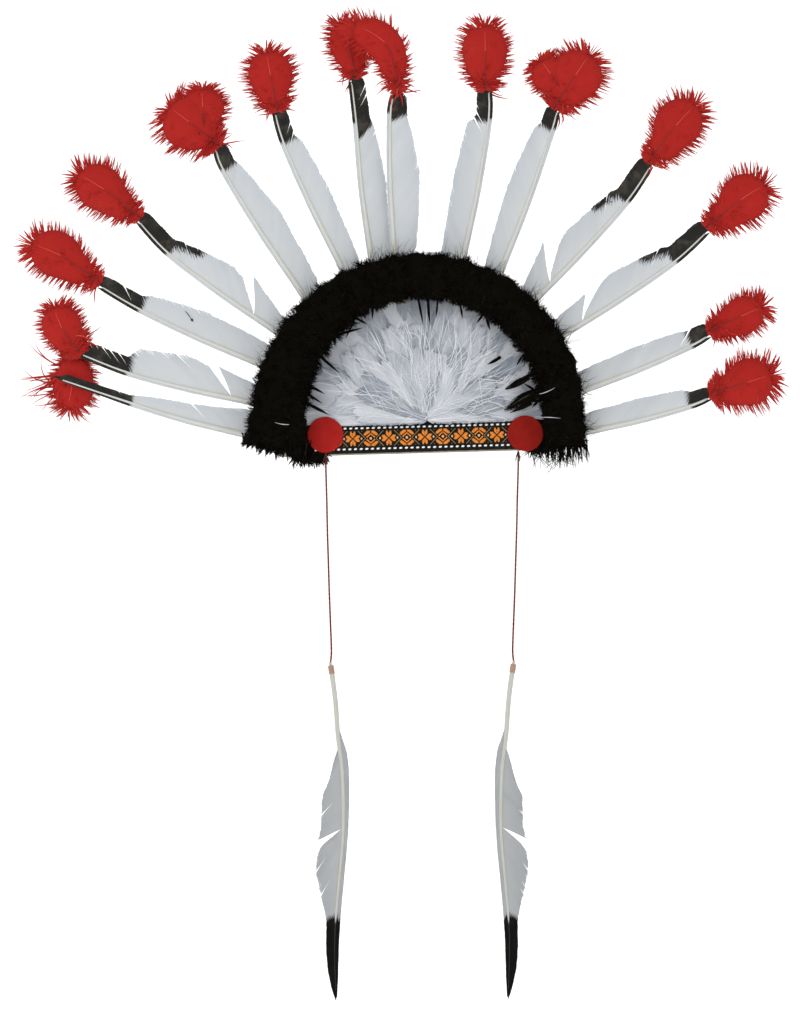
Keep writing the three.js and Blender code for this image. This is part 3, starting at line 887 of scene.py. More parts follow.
@dataclass
class VaneSide:
    """Lays one side of a feather's vane: barbs from the shaft to an edge."""

    spine: Spine
    side: int
    lift: Lift
    dice: Dice
    pitch: float = 0.62
    angle: float = 35.0
    camber: float = 0.055
    points: int = 6

    def lay(
        self, strands: Strands, edge: Table, inked: Ink, slits: Sequence[Slit] = (),
        last_root: float | None = None, first_root: float | None = None, frayed: float = 0.0,
        softness: float = 4.0,
    ) -> float:
        """Adds the barbs that end on an edge.

        Args:
            strands: Takes the barbs.
            edge: The edge's places along the shaft and away from it, mm.
            inked: The dyed share, from a barb's root, the place along and the place across.
            slits: Where the barbs part.
            last_root: Where the last barb leaves the shaft, where a split sets it.
            first_root: The lowest place where a barb may leave the shaft.
            frayed: How loose the barbs' ends are.
            softness: The length over which the edge's corners are rounded, mm.

        Returns:
            Where the last barb leaves the shaft.
        """
        dice = self.dice
        corners = np.asarray(edge, dtype=float)
        marks = np.concatenate([[0.0], np.cumsum(np.hypot(*np.diff(corners, axis=0).T))])
        count = max(int(marks[-1] / self.pitch), 8)
        walk = np.linspace(0, marks[-1], count)
        reach, wide = (self._rounded(np.interp(walk, marks, values), softness) for values in corners.T)
        roots = self._roots(reach, wide, last_root, first_root)
        uneven = smooth_noise(walk, 5.0, dice) * 0.018 + smooth_noise(walk, 1.3, dice) * 0.02
        wide = wide * (1 + uneven + dice.uniform(-1, 1, count) * (0.006 + 0.05 * frayed))
        reach = reach + smooth_noise(walk, 2.2, dice) * (0.15 + 1.4 * frayed)
        for slit in slits:
            away = roots - slit.at
            reach = reach + np.sign(away) * slit.gap / 2 * np.exp(-np.abs(away) / 9)
        share = np.linspace(0, 1, self.points)[None, :]
        along = roots[:, None] + (reach - roots)[:, None] * share ** 1.18
        aside = wide[:, None] * share ** 0.96
        wavy = smooth_noise(walk, 14.0, dice)[:, None] * share ** 2 * 0.6
        drop = -self.camber * aside ** 2 / 10
        lines = self.spine.place(along, aside * self.side, self.lift(along) + drop + wavy)
        spacing = np.gradient(roots) * wide / np.maximum(np.hypot(reach - roots, wide), 0.5)
        root_width = np.clip(spacing * 1.8, 0.5, 1.6)
        tip_width = np.clip(np.gradient(walk) * 1.7, 0.75, 1.3)
        widths = root_width[:, None] * (1 - share) + tip_width[:, None] * share
        widths = widths * np.where(share > 0.95, 0.45, 1.0)
        tilt = 0.05 + dice.uniform(-0.015, 0.015, count)
        tone = smooth_noise(walk, 6.0, dice) * 0.3 + dice.uniform(-0.13, 0.13, count)
        strands.add(lines, widths, tone, shingled(lines, tilt), inked(roots[:, None], along, aside))
        return float(roots[-1])

    def _roots(self, reach: Array, wide: Array, last_root: float | None, first_root: float | None) -> Array:
        """Where the barbs leave the shaft, never stepping back along it.

        Args:
            reach: The places along the shaft where they end.
            wide: How far from the shaft they end.
            last_root: Where the last one leaves the shaft, where a split sets it.
            first_root: The lowest place where one may leave the shaft.

        Returns:
            The places along the shaft.
        """
        roots = reach - wide / math.tan(math.radians(self.angle))
        if last_root is not None:
            roots = roots + (last_root - roots[-1]) * np.linspace(0, 1, len(roots)) ** 1.5
        if first_root is not None:
            roots = np.maximum(roots, first_root)
        rise = 0.25 * reach
        return np.maximum.accumulate(roots - rise) + rise

    def _rounded(self, values: Array, softness: float) -> Array:
        """The values averaged over a short length in mm, with their ends kept."""
        half = max(int(softness / self.pitch / 2), 1)
        before, after = 2 * values[0] - values[half:0:-1], 2 * values[-1] - values[-2:-half - 2:-1]
        kernel = np.ones(2 * half + 1) / (2 * half + 1)
        return np.convolve(np.concatenate([before, values, after]), kernel, mode="valid")


@dataclass
class TallFeathers:
    """The fourteen tall feathers of the fan."""

    root: float = 26.0
    bow: float = 1.5
    narrow: float = 3.0
    tip_sweep: float = 12.0
    sweep_length: float = 150.0
    shaft_widths: Table = ((0, 2.1), (26, 2.0), (80, 1.5), (120, 1.1), (145, 0.75), (190, 0.55))

    def spine(self, feather: Feather, side: int) -> Spine:
        """The line of a feather's shaft.

        Args:
            feather: The feather.
            side: The side of its broad vane.

        Returns:
            The line from under the boa to the end of the black tip.
        """
        seat = ARCH_CENTRE + polar(feather.seat, feather.reach)
        start = seat + polar(feather.aim + 180, self.root)
        neck = seat + polar(feather.aim, feather.white)
        middle = seat + polar(feather.aim, feather.white / 2) + polar(feather.aim - side * 90, self.bow)
        tip = neck + polar(feather.aim + side * feather.turn, feather.black)
        return Spine([start, seat, middle, neck, tip])

    def sweep(self, distance: Array | float) -> Array:
        """How far a feather has swept back at a distance along its shaft, mm."""
        return self.tip_sweep * (np.maximum(distance - self.root, 0) / self.sweep_length) ** 2

    @staticmethod
    def side_of(index: int) -> int:
        """1 where the broad side of the vane lies to the left of the shaft, otherwise -1."""
        return -1 if index < LEFT_FEATHERS else 1

    @staticmethod
    def layer_of(index: int) -> float:
        """The height of a feather's shaft: the feathers lie behind and in front in turn."""
        return LAYERS.back_quills if index % 2 == 0 else LAYERS.front_quills

    def build(self) -> None:
        """Builds every tall feather: its vane and its shaft."""
        for index, feather in enumerate(FEATHERS):
            side, layer, tied = self.side_of(index), self.layer_of(index), PLUMES[index].tied
            name = f"tall_feather_{index + 1:02d}"
            spine, strands = self.spine(feather, side), Strands()
            dice = np.random.default_rng(1000 + index)

            def lift(distance: Array) -> Array:
                """The height at distances along the shaft."""
                return layer - self.sweep(distance)

            broad = VaneSide(spine, side, lift, dice, points=12 if feather.ragged else 6)
            self._lay_broad(broad, strands, feather, 0.35 if tied else 0.85)
            narrow = VaneSide(spine, -side, lift, dice, angle=24.0)
            self._lay_narrow(narrow, strands, feather, 0.4 if tied else 0.9)
            self._lay_specks(broad, strands, feather)
            strands.piece(f"{name}_vane", Finish.WHITE_VANE, name)
            distance = np.linspace(0, spine.length - 4, 26)
            half = read(self.shaft_widths, distance)
            line = spine.place(distance, 0, lift(distance) + 0.25)
            tube_piece(f"{name}_shaft", Finish.CREAM_SHAFT, line, half, half * 0.72, 10, name)

    def _lay_narrow(self, vane: VaneSide, strands: Strands, feather: Feather, taper: float) -> None:
        """Lays the narrow side of the vane.

        Args:
            vane: The side.
            strands: Takes the barbs.
            feather: The feather.
            taper: The share of its width at the end.
        """
        neck, length = self.root + feather.white, vane.spine.length
        edge = [(self.root - 12, self.narrow), (neck - 40, self.narrow), (neck, self.narrow),
                (length - 5, 3.2 * taper), (length, 3.0 * taper * taper)]
        vane.lay(strands, edge, self._ink(feather, vane.dice, True), frayed=feather.frayed * 0.3)

    def _lay_specks(self, vane: VaneSide, strands: Strands, feather: Feather) -> None:
        """Lays the dark strokes on a vane.

        Args:
            vane: Its broad side.
            strands: Takes the strokes.
            feather: The feather.
        """
        steps = np.linspace(0, 1, 5)
        for speck in feather.specks:
            turn = math.radians(speck.turn)
            along = self.root + feather.white - speck.before + speck.length * steps * math.cos(turn)
            aside = speck.out + speck.length * steps * math.sin(turn) + np.sin(steps * math.pi) * 0.6
            line = vane.spine.place(along, vane.side * aside, vane.lift(along) + 0.5)
            widths = np.interp(steps, [0, 0.3, 0.7, 1], [0.3, 1, 0.9, 0.3]) * speck.width
            strands.add(line, widths, ink=1.0)

    def _lay_broad(self, vane: VaneSide, strands: Strands, feather: Feather, taper: float) -> None:
        """Lays the broad side of the vane, in two parts where it is split.

        Args:
            vane: The side.
            strands: Takes the barbs.
            feather: The feather.
            taper: The share of its width at the end.
        """
        ink = self._ink(feather, vane.dice)
        seat, neck, length, tip = self.root, self.root + feather.white, vane.spine.length, feather.tip
        slits = [Slit(seat + slit.at, slit.gap) for slit in feather.slits]
        foot = [(seat - 16, feather.base * 0.5), (seat, feather.base)]
        first_root, lobe = 2.0, feather.lobe
        if lobe:
            split = seat + lobe.root - lobe.deep * 1.2
            foot.append((seat + lobe.tip, lobe.out))
            vane.lay(strands, foot, ink, slits, split, first_root, softness=5.0)
            first_root = split + 0.8
            body = [(seat + lobe.root, lobe.deep), (seat + lobe.root + 22, feather.belly * 0.85)]
        else:
            body = [*foot, (seat + feather.white * 0.2, (feather.base + feather.belly) / 2)]
        body += [
            (seat + feather.white * 0.55, feather.belly),
            (seat + feather.white * 0.8, (feather.belly + feather.neck) / 2),
            (neck - 3, feather.neck), (neck + 4, tip), (length - 6, tip * 0.95), (length, tip * taper),
            (length + 4, tip * taper * 0.5), (length + 5, 0.6),
        ]
        vane.lay(strands, body, ink, slits, first_root=first_root, frayed=feather.frayed)

    def _ink(self, feather: Feather, dice: Dice, narrow: bool = False) -> Ink:
        """The dyed share of a feather's barbs: all of the tip and, where ragged, the edge below it.

        Args:
            feather: The feather.
            dice: The source of random numbers.
            narrow: Whether the barbs are on the narrow side.

        Returns:
            The share, from a barb's root, the place along and the place across.
        """
        phase, neck = dice.uniform(0, 50), self.root + feather.white
        lead = feather.neck / math.tan(math.radians(35))

        def inked(roots: Array, along: Array, aside: Array) -> Array:
            """The dyed share at places on the barbs.

            Args:
                roots: Where the barbs leave the shaft.
                along: Places along the shaft.
                aside: Places away from it.

            Returns:
                The share at each place, from 0 to 1.
            """
            stray = np.sin(roots * 1.7 + phase) * 0.8 + np.sin(roots * 4.1 + phase * 2) * 0.7
            place = along if narrow else along + (roots + lead - along) * feather.slant
            tip = np.clip((place - neck + stray) / 1.2, 0, 1)
            if feather.ragged and not narrow:
                start = neck - feather.ragged + stray * 2
                rim = aside[:, -1:] - aside
                deep = 4.8 + stray * 1.0 + np.sin(roots * 11 + phase) * 0.8
                tip = np.maximum(tip, np.clip(along - start, 0, 1) * np.clip((deep - rim) * 2, 0, 1))
            return tip

        return inked


# ---------------------------------------------------------------- red plumes


@dataclass(frozen=True)
class Curls:
    """Long loose barbs that leave a tuft: where from, their aim, length and count."""

    at: float
    aim: float
    length: float
    count: int


@dataclass(frozen=True)
class Tuft:
    """One marabou tuft: its aim in degrees, and its length, width, bend and sway, mm."""

    aim: float
    length: float
    width: float
    bend: float = 0.0
    sway: float = 0.0
    tied: float = 0.0
    side: "Tuft | None" = None
    loose: float = 1.0
    curls: tuple[Curls, ...] = ()
    back: float = 1.0
    hollow: float = 0.0


PLUMES = (
    Tuft(262, 30, 44, 2, -13, 11, None, 1.0, (Curls(0.35, 195, 33, 16), Curls(0.5, 215, 26, 10)), 27),
    Tuft(118, 46, 41, 3, 9, curls=(Curls(0.4, 15, 14, 5),), back=6),
    Tuft(152, 75, 50, -4, 0, curls=(Curls(0.1, 250, 6, 4),), hollow=-0.3),
    Tuft(146, 71, 49, -2, 3, hollow=-0.28),
    Tuft(143, 60, 57, side=Tuft(94, 45, 44), curls=(Curls(0.1, 20, 8, 4),)),
    Tuft(101, 55, 47, 0, 3, curls=(Curls(0.1, 15, 6, 4), Curls(0.1, 215, 8, 5)), back=4, hollow=-0.1),
    Tuft(106, 56, 39, -3, -10, 0, None, 1.2, (Curls(0.15, 235, 8, 6),)),
    Tuft(128, 76, 38, -16, 10, 0, None, 1.1, (Curls(0.1, 225, 6, 6), Curls(0.15, -30, 8, 7))),
    Tuft(91, 60, 48, curls=(Curls(0.1, -30, 10, 5),), back=4),
    Tuft(56, 61, 55, 0, 3, side=Tuft(126, 39, 38), curls=(Curls(0.1, -50, 9, 6),)),
    Tuft(50, 71, 51, 2, curls=(Curls(0.1, -50, 6, 4),), hollow=0.3),
    Tuft(35, 69, 51, 2, 3, curls=(Curls(0.1, -60, 6, 4),), hollow=0.31),
    Tuft(24, 56, 40, loose=1.3, curls=(Curls(0.2, -60, 6, 5),), hollow=0.1),
    Tuft(17, 60, 50, 0, 3, 0, None, 1.3, (Curls(0.6, 70, 14, 14), Curls(0.6, -75, 8, 10)), hollow=0.15),
)


@dataclass(frozen=True)
class Fluff:
    """One layer of a tuft: clumps of barbs that end on a share of its outline.

    A wide rim spreads the clumps over the front and the back, and a small one keeps them near
    the outline. Gather is the distance between the ends of the barbs in a clump, mm.
    """

    clumps: int
    barbs: int
    low: float
    high: float
    rim: float
    gather: float
    width: float
    tone: Pair


@dataclass
class LaidTuft:
    """Lays one tuft of a plume round its middle line."""

    tuft: Tuft
    start: Array
    height: float
    sway: float
    strands: Strands
    dice: Dice
    flatness: float = 0.5
    sway_turn: float = 1.9
    fullness: float = 1.12
    body: float = 0.74
    layers: Sequence[Fluff] = (
        Fluff(110, 5, 0.68, 0.85, 1.4, 1.5, 1.2, (-0.1, 0.1)),
        Fluff(60, 4, 0.82, 0.94, 1.1, 0.5, 0.8, (-0.15, 0.15)),
        Fluff(136, 5, 0.94, 1.22, 0.25, 0.2, 0.75, (-0.3, 0.35)),
    )
    shape: Table = ((0, 0.84), (0.3, 0.88), (0.6, 1.0), (1, 1.04))

    def __post_init__(self) -> None:
        """Sets the middle line and half the thickness."""
        tuft = self.tuft
        foot, reach = self.start - polar(tuft.aim, tuft.back), tuft.length + tuft.back
        middle = foot + polar(tuft.aim, reach / 2) + polar(tuft.aim + 90, tuft.bend)
        self.spine = Spine([foot, middle, foot + polar(tuft.aim, reach)])
        self.dome = self.flatness * tuft.width / 2 * self.fullness

    def lift(self, distance: Array) -> Array:
        """The height at distances along the middle line."""
        share = np.clip(distance / self.spine.length, 0, 1.2)
        return self.height + self.sway * np.sin(share * self.sway_turn)

    def half(self, share: Array, side: Array | float) -> Array:
        """The width of one side at a share of the length, mm."""
        bow, tuft = np.clip(1 - (2 * share - 1) ** 2, 0, 1) ** 0.4, self.tuft
        hollow = abs(tuft.hollow) * np.exp(-((share - 0.24) / 0.24) ** 2) * (tuft.hollow * side > 0)
        return bow * (read(self.shape, share) * (1 - hollow)) * tuft.width / 2 * self.fullness

    def lay(self, down: Shape, shafts: Shape) -> None:
        """Lays matted down, the layers of barbs, the curls and a shaft.

        Args:
            down: Takes the matted down.
            shafts: Takes the shaft.
        """
        share = 0.5 - 0.5 * np.cos(np.linspace(0.08, math.pi - 0.08, 26))
        left, right = self.half(share, 1.0) * self.body, self.half(share, -1.0) * self.body
        half, length = (left + right) / 2, self.spine.length
        along = length * (0.5 + (share - 0.5) * self.body)
        line = self.spine.place(along, (left - right) / 2, self.lift(share * length))
        add_tube(down, line, half, half * self.flatness, 22)
        for fluff in self.layers:
            self._lay_fluff(fluff)
        for curls in self.tuft.curls:
            self._lay_curls(curls)
        distance = np.linspace(max(self.tuft.back - 2, 0.5), length * 0.52, 12)
        half = np.linspace(0.6, 0.26, 12)
        add_tube(shafts, self._ridge(distance, 0.95), half, half, 7)
        distance = np.linspace(length * 0.5, length * 0.78, 8)
        self.strands.add(self._ridge(distance, 0.96), np.linspace(0.55, 0.2, 8), 1.1)

    def _ridge(self, distance: Array, share: float) -> Array:
        """The line along the front of the tuft at a share of its dome."""
        proud = self.dome * share * np.sin(distance / self.spine.length * math.pi * 0.9) ** 0.4
        return self.spine.place(distance, 0, self.lift(distance) + proud)

    def _lay_curls(self, curls: Curls) -> None:
        """Lays long loose barbs that leave the tuft and curl.

        Args:
            curls: The barbs' sizes.
        """
        dice, count, steps = self.dice, curls.count, np.linspace(0, 1, 9)
        start = self.spine.length * np.clip(curls.at + dice.normal(0, 0.07, count), 0.02, 1)
        turn = np.radians(curls.aim + dice.normal(0, 22, count))[:, None]
        begin = np.hstack(rays(self.spine.at(start)[0], turn, 3.0))
        length = (curls.length + 10) * dice.uniform(0.6, 1.05, count)
        x, y = paths(begin, turn + dice.normal(0, 0.9, count)[:, None] * steps, length)
        z = self.lift(start)[:, None] + dice.normal(0, 2.5, count)[:, None] * (1 + steps)
        widths = np.interp(steps, [0, 0.6, 1], [1.5, 1.0, 0.2])
        self.strands.add(world(x, y, z), widths, dice.uniform(-0.3, 0.6, count))

    def _lay_fluff(self, fluff: Fluff) -> None:
        """Lays one layer of barbs.

        Args:
            fluff: The layer.
        """
        dice, length = self.dice, self.spine.length
        count, barbs, steps = fluff.clumps, fluff.barbs, np.linspace(0, 1, 6)
        turn = (np.arange(count) + dice.uniform(0, 1, count)) / count * math.tau
        size = dice.uniform(fluff.low, fluff.high, count)
        share = 0.5 + 0.5 * np.cos(turn)
        size = np.where(size > 1, 1 + (size - 1) * self.tuft.loose * np.clip(share * 5, 0.2, 1), size)
        wide = np.sign(np.sin(turn)) * self.half(share, np.sin(turn)) * size
        tip = length * (0.5 + (share - 0.5) * size)
        root = np.clip(tip * 0.72 + length * 0.05, 0, length * 0.85)
        around = dice.uniform(-1, 1, count) * fluff.rim
        across, out = wide * np.cos(around), np.abs(wide) * np.sin(around) * self.flatness
        spread = dice.normal(0, 1, (4, count, barbs))
        roots = np.clip(root[:, None] + spread[0] * 2.2, 0, length * 0.9)
        tips = tip[:, None] + spread[1] * fluff.gather
        short = dice.uniform(0.86, 1.0, (count, barbs))[..., None] * steps
        sag = dice.uniform(-1, 1, count)[:, None, None] * 1.1 * np.sin(steps * math.pi)
        along = roots[..., None] + (tips - roots)[..., None] * short ** 0.95 + sag
        aside = (across[:, None] + spread[2] * fluff.gather)[..., None] * short ** 1.02
        front = (out[:, None] * (1 + spread[3] * 0.1))[..., None] * np.sin(short * math.pi * 0.55)
        lines = self.spine.place(along, aside, self.lift(along) + front)
        widths = np.interp(steps, [0, 0.6, 0.85, 1], [1.0, 0.9, 0.55, 0.1]) * fluff.width
        swing = np.repeat(around + dice.normal(0, 0.25, count), barbs)[:, None, None]
        left = self.spine.at(np.repeat(root, barbs))[2]
        outward = world(left[:, 0], left[:, 1], 0)[:, None, :] / MM
        outward = outward * np.sign(np.repeat(wide, barbs))[:, None, None]
        facing = unit(FRONT * 1.1 + outward * np.sin(np.abs(swing)) * 0.5)
        facing = unit(facing + dice.normal(0, 0.12, (count * barbs, 1, 3)))
        tone = np.repeat(dice.uniform(*fluff.tone, count), barbs) + dice.uniform(-0.08, 0.08, count * barbs)
        self.strands.add(lines, widths, tone, facing)


@dataclass
class TipPlumes:
    """The red marabou plumes on the tips of the tall feathers."""

    feathers: TallFeathers
    clear: float = 1.3
    fork: float = 14.0
    tied_drop: float = 3.5

    def build(self) -> None:
        """Builds every plume: its barbs, its down and its shaft."""
        for index, tuft in enumerate(PLUMES):
            dice, name = np.random.default_rng(2000 + index), f"tip_plume_{index + 1:02d}"
            strands, shafts, down = Strands(), bmesh.new(), bmesh.new()
            start, height = self._start(tuft, index)
            LaidTuft(tuft, start, height, tuft.sway, strands, dice).lay(down, shafts)
            if tuft.side:
                fork = start + polar(tuft.aim, self.fork)
                LaidTuft(tuft.side, fork, height, tuft.sway, strands, dice).lay(down, shafts)
            strands.piece(f"{name}_barbs", Finish.RED_PLUME, name)
            solid_piece(f"{name}_down", down, Finish.RED_PLUME, name)
            solid_piece(f"{name}_shaft", shafts, Finish.PLUME_SHAFT, name)

    def _start(self, tuft: Tuft, index: int) -> tuple[Array, float]:
        """Where a plume leaves its feather.

        Args:
            tuft: The plume.
            index: Its number, from 0.

        Returns:
            The place in the drawing plane and the height.
        """
        side, feather = TallFeathers.side_of(index), FEATHERS[index]
        spine = self.feathers.spine(feather, side)
        point, along, left = spine.at(spine.length - tuft.tied)
        height = TallFeathers.layer_of(index) - float(self.feathers.sweep(spine.length))
        height -= self.tied_drop if tuft.tied else 0
        return point + along * self.clear + left * side * feather.tip / 4, height


# ---------------------------------------------------------------- boa


@dataclass
class Boa:
    """The black boa: a dark core under layers of fluff, ragged at its two feet."""

    radius: float = 119.5
    depth: float = 29.0
    lumps: float = 23.0
    lump_height: float = 1.2
    left_leg: Table = ((-124.5, -10), (-121.5, 3))
    right_leg: Table = ((120, 3), (121, -10))
    widths: Table = (
        (0, 30.5), (0.04, 30), (0.1, 28), (0.18, 26), (0.3, 24.5), (0.45, 23), (0.85, 21.5), (1, 19.5),
    )
    inward: Table = (
        (0, -4.5), (0.06, -4), (0.1, -1), (0.2, 3), (0.3, 1.5), (0.4, 0), (0.7, 0), (0.8, 1.5), (0.88, 3),
        (0.92, 1), (0.95, -1.5), (1, -1.5),
    )
    clumps: int = 2440
    barbs: int = 7
    foot_clumps: int = 64
    infill: Sequence[tuple[float, float, float, float, int, float]] = (
        (-106, -83, -16, 14, 1100, 1.1), (-110, -82, -19, -9, 300, 0.9), (92, 108, -10, 16, 700, 1.0),
        (91, 122, -13, -8, 46, 0.5),
    )
    notches: Sequence[tuple[float, float, float, float, float]] = (
        (-3, 116, 1, 94, 0.8), (5, 115, 7, 94, 1.4), (13, 113, 12, 101, 1.0), (64, 66, 55, 61, 2.0),
        (88, 49, 70, 40, 6.0), (92, 53, 80, 47, 1.2), (96, 37, 69, 22, 10.5), (90, 27, 74, 20, 2.0),
        (-84, 66, -70, 54, 1.8), (-96, 44, -82, 36, 1.4), (-97, 36, -84, 28, 0.9), (-97, 28, -78, 18, 1.2),
    )
    small_notches: int = 14
    wisps: int = 26
    strays: Sequence[tuple[float, float, float, float, float]] = (
        (-111.4, 9.4, 183, 12, -0.2), (97.8, 34.9, 11, 14, 0.2), (99.5, 15.3, 3, 16, -0.1),
    )
    stray_height: float = 41.0

    def spine(self) -> Spine:
        """The boa's middle line, from its left foot over the arch to its right foot."""
        arch = [ARCH_CENTRE + polar(bearing, self.radius) for bearing in range(170, 9, -16)]
        return Spine([*self.left_leg, *arch, *self.right_leg])

    def half(self, share: Array | float) -> Array:
        """Half the boa's width at a share of its length, mm."""
        return read(self.widths, share) + np.sin(share * self.lumps * math.tau) * self.lump_height

    def build(self) -> None:
        """Builds the core, the fluff and the white barbs that have strayed over it."""
        spine, strands, dice = self.spine(), Strands(), np.random.default_rng(31)
        distance = np.linspace(1.5, spine.length - 1.5, 220)
        half = self.half(distance / spine.length) * 0.8 * (1 + smooth_noise(distance, 6, dice) * 0.05)
        deep = self.depth / 2 * 0.8 * (1 + smooth_noise(distance, 5, dice) * 0.08)
        line = spine.place(distance, smooth_noise(distance, 9, dice) * 0.8, LAYERS.boa)
        tube_piece("boa_core", Finish.BLACK_BOA, line, half, deep, 22, "boa_arch")
        self._lay_body(strands, spine, dice)
        self._lay_feet(strands, spine, dice)
        self._lay_infill(strands, dice)
        self._lay_wisps(strands, dice)
        self._lay_notches(strands, dice)
        strands.piece("boa_fluff", Finish.BLACK_BOA, "boa_arch")
        strays, steps = Strands(), np.linspace(0, 1, 8)
        for x, y, aim, length, curl in self.strays:
            flat = rays(np.array([x, y]), np.radians(aim) + curl * steps, length * steps)
            strays.add(world(*flat, self.stray_height), np.interp(steps, [0, 0.4, 1], [0.3, 0.6, 0.15]))
        strays.piece("boa_stray_barbs", Finish.HACKLE)

    def _lay_body(self, strands: Strands, spine: Spine, dice: Dice) -> None:
        """Lays clumps of barbs round the core, along the whole boa.

        Args:
            strands: Takes the barbs.
            spine: The boa's middle line.
            dice: The source of random numbers.
        """
        count, barbs, share = self.clumps, self.barbs, np.linspace(0, 1, 5)
        place = (np.arange(count) + dice.uniform(0, 1, count)) / count
        turn = (np.arange(count) * GOLDEN_RATIO % 1) * math.tau
        rough = [smooth_noise(place * 100, pitch, dice) * deep
                 for pitch, deep in ((1.6, 0.05), (0.6, 0.035)) * 2]
        outer, inner = np.clip(np.cos(turn), 0, 1), np.clip(-np.cos(turn), 0, 1)
        half = self.half(place) * (1 + (rough[0] + rough[1]) * outer + (rough[2] + rough[3]) * inner)
        half = half + read(self.inward, place) * inner
        size = dice.uniform(0.92, 1.0, count) + (dice.uniform(0, 1, count) > 0.9) * 0.06
        lean = dice.normal(0, 3.5, count)
        spread = dice.normal(0, 1, (3, count, barbs))
        start = place[:, None] * spine.length + spread[0] * 1.8
        along = start[..., None] + (lean[:, None] + spread[1])[..., None] * share ** 1.5
        grow = 0.62 + (size[:, None] * dice.uniform(0.94, 1.0, (count, barbs)) - 0.62)[..., None] * share
        swirl = turn[:, None, None] + (spread[2] * 0.09)[..., None] * (1 - 0.5 * share)
        swirl = swirl + dice.normal(0, 0.3, count)[:, None, None] * share
        front = LAYERS.boa + self.depth / 2 * grow * np.sin(swirl)
        lines = spine.place(along, half[:, None, None] * grow * np.cos(swirl), front)
        facing = unit(dice.normal(0, 1, (count * barbs, 3)) + FRONT * 1.2)[:, None, :]
        widths = np.interp(share, [0, 0.6, 1], [0.9, 0.6, 0.1])
        strands.add(lines, widths, dice.uniform(-1, 1, count * barbs), facing)

    def _lay_feet(self, strands: Strands, spine: Spine, dice: Dice) -> None:
        """Lays the ragged locks that hang from the feet: broad on the left, thin on the right.

        Args:
            strands: Takes the barbs.
            spine: The boa's middle line.
            dice: The source of random numbers.
        """
        steps = np.linspace(0, 1, 6)
        for share, way, heavy in ((0.0, -1, True), (1.0, 1, False)):
            count, each = (self.foot_clumps, 18) if heavy else (self.foot_clumps + 20, 3)
            across, half = dice.uniform(-1, 1, count), self.half(share)
            length = dice.uniform(1, 6, count) if heavy else dice.uniform(4, 17, count)
            length = length * (1.15 - 0.3 * np.abs(across)) + (dice.uniform(0, 1, count) > 0.94) * 5
            spread = dice.normal(0, 1, (3, count, each))
            start = spine.length * share - way * (4 + 3 * np.abs(spread[0]))
            along = start[..., None] + way * (length[:, None] + 5 + spread[1])[..., None] * steps
            root = across[:, None] * half * 0.86 + spread[2] * (1.8 if heavy else 1.2)
            tip = across[:, None] * half * 0.95 + dice.normal(0, 2.0, count)[:, None]
            tip = tip + spread[0] * (0.9 if heavy else 0.5)
            aside = root[..., None] + (tip - root)[..., None] * steps ** 1.3
            depth = dice.uniform(-0.8, 0.8, count)[:, None, None] * self.depth / 2
            lines = spine.place(along, aside, LAYERS.boa + depth + spread[1][..., None] * steps * 1.5)
            widths = np.interp(steps, [0, 0.6, 1], [1.1, 0.75, 0.12] if heavy else [0.7, 0.5, 0.12])
            facing = unit(dice.normal(0, 0.4, (count * each, 3)) + FRONT)[:, None, :]
            strands.add(lines, widths, dice.uniform(-1, 1, count * each), facing)

    def _lay_infill(self, strands: Strands, dice: Dice) -> None:
        """Lays flat locks between each foot and its rosette: thick on the left, thin on the right.

        Args:
            strands: Takes the barbs.
            dice: The source of random numbers.
        """
        steps = np.linspace(0, 1, 6)
        for left, right, low, high, count, wide in self.infill:
            thin = wide < 0.6
            begin = np.stack([dice.uniform(left, right, count), dice.uniform(low, high, count)], -1)
            turn = np.radians(270 + dice.normal(0, 24, count))[:, None]
            turn = turn + dice.normal(0, 1.3 if thin else 0.4, count)[:, None] * steps
            x, y = paths(begin, turn, dice.uniform(6, 18, count) if thin else dice.uniform(3, 9, count))
            lines = world(x, y, dice.uniform(2.5, 3.4, count)[:, None])
            widths = np.interp(steps, [0, 0.6, 1], [1, 0.8, 0.15]) * wide
            strands.add(lines, widths, dice.uniform(-1, 1, count))

    def _lay_notches(self, strands: Strands, dice: Dice) -> None:
        """Lays dark wedges that reach out of the boa between the tips of the white hackles.

        Args:
            strands: Takes the barbs.
            dice: The source of random numbers.
        """
        steps, wedges = np.linspace(0, 1, 6), list(self.notches)
        for bearing in dice.uniform(6, 176, self.small_notches):
            start = ARCH_CENTRE + polar(bearing, 100)
            end = ARCH_CENTRE + polar(bearing + dice.normal(0, 4), 95 - dice.uniform(0, 5))
            wedges.append((*start, *end, dice.uniform(0.3, 1.0)))
        for left, low, right, high, wide in wedges:
            count, lens = int(8 + wide * 4), wide > 5
            way = unit(np.array([right - left, high - low]))
            across = np.array([-way[1], way[0]])
            push = dice.uniform(-0.5, 0.5, count) * wide
            begin = np.array([left, low]) - way * 3 + across * push[:, None] * (0.5 if lens else 1)
            end = np.array([right, high]) + across * push[:, None] * 0.25
            end = end - way * (np.abs(push) * dice.uniform(0, 2.4, count))[:, None]
            bow = (dice.normal(0, 0.4, count) + push * 0.6 * lens)[:, None] * np.sin(steps * math.pi)
            flat = begin[:, None] + (end - begin)[:, None] * steps[:, None] + across * bow[..., None]
            lines = world(flat[..., 0], flat[..., 1], dice.uniform(10.4, 12.5, count)[:, None])
            strands.add(lines, np.interp(steps, [0, 0.6, 1], [0.9, 0.7, 0.1]), dice.uniform(-1, 1, count))

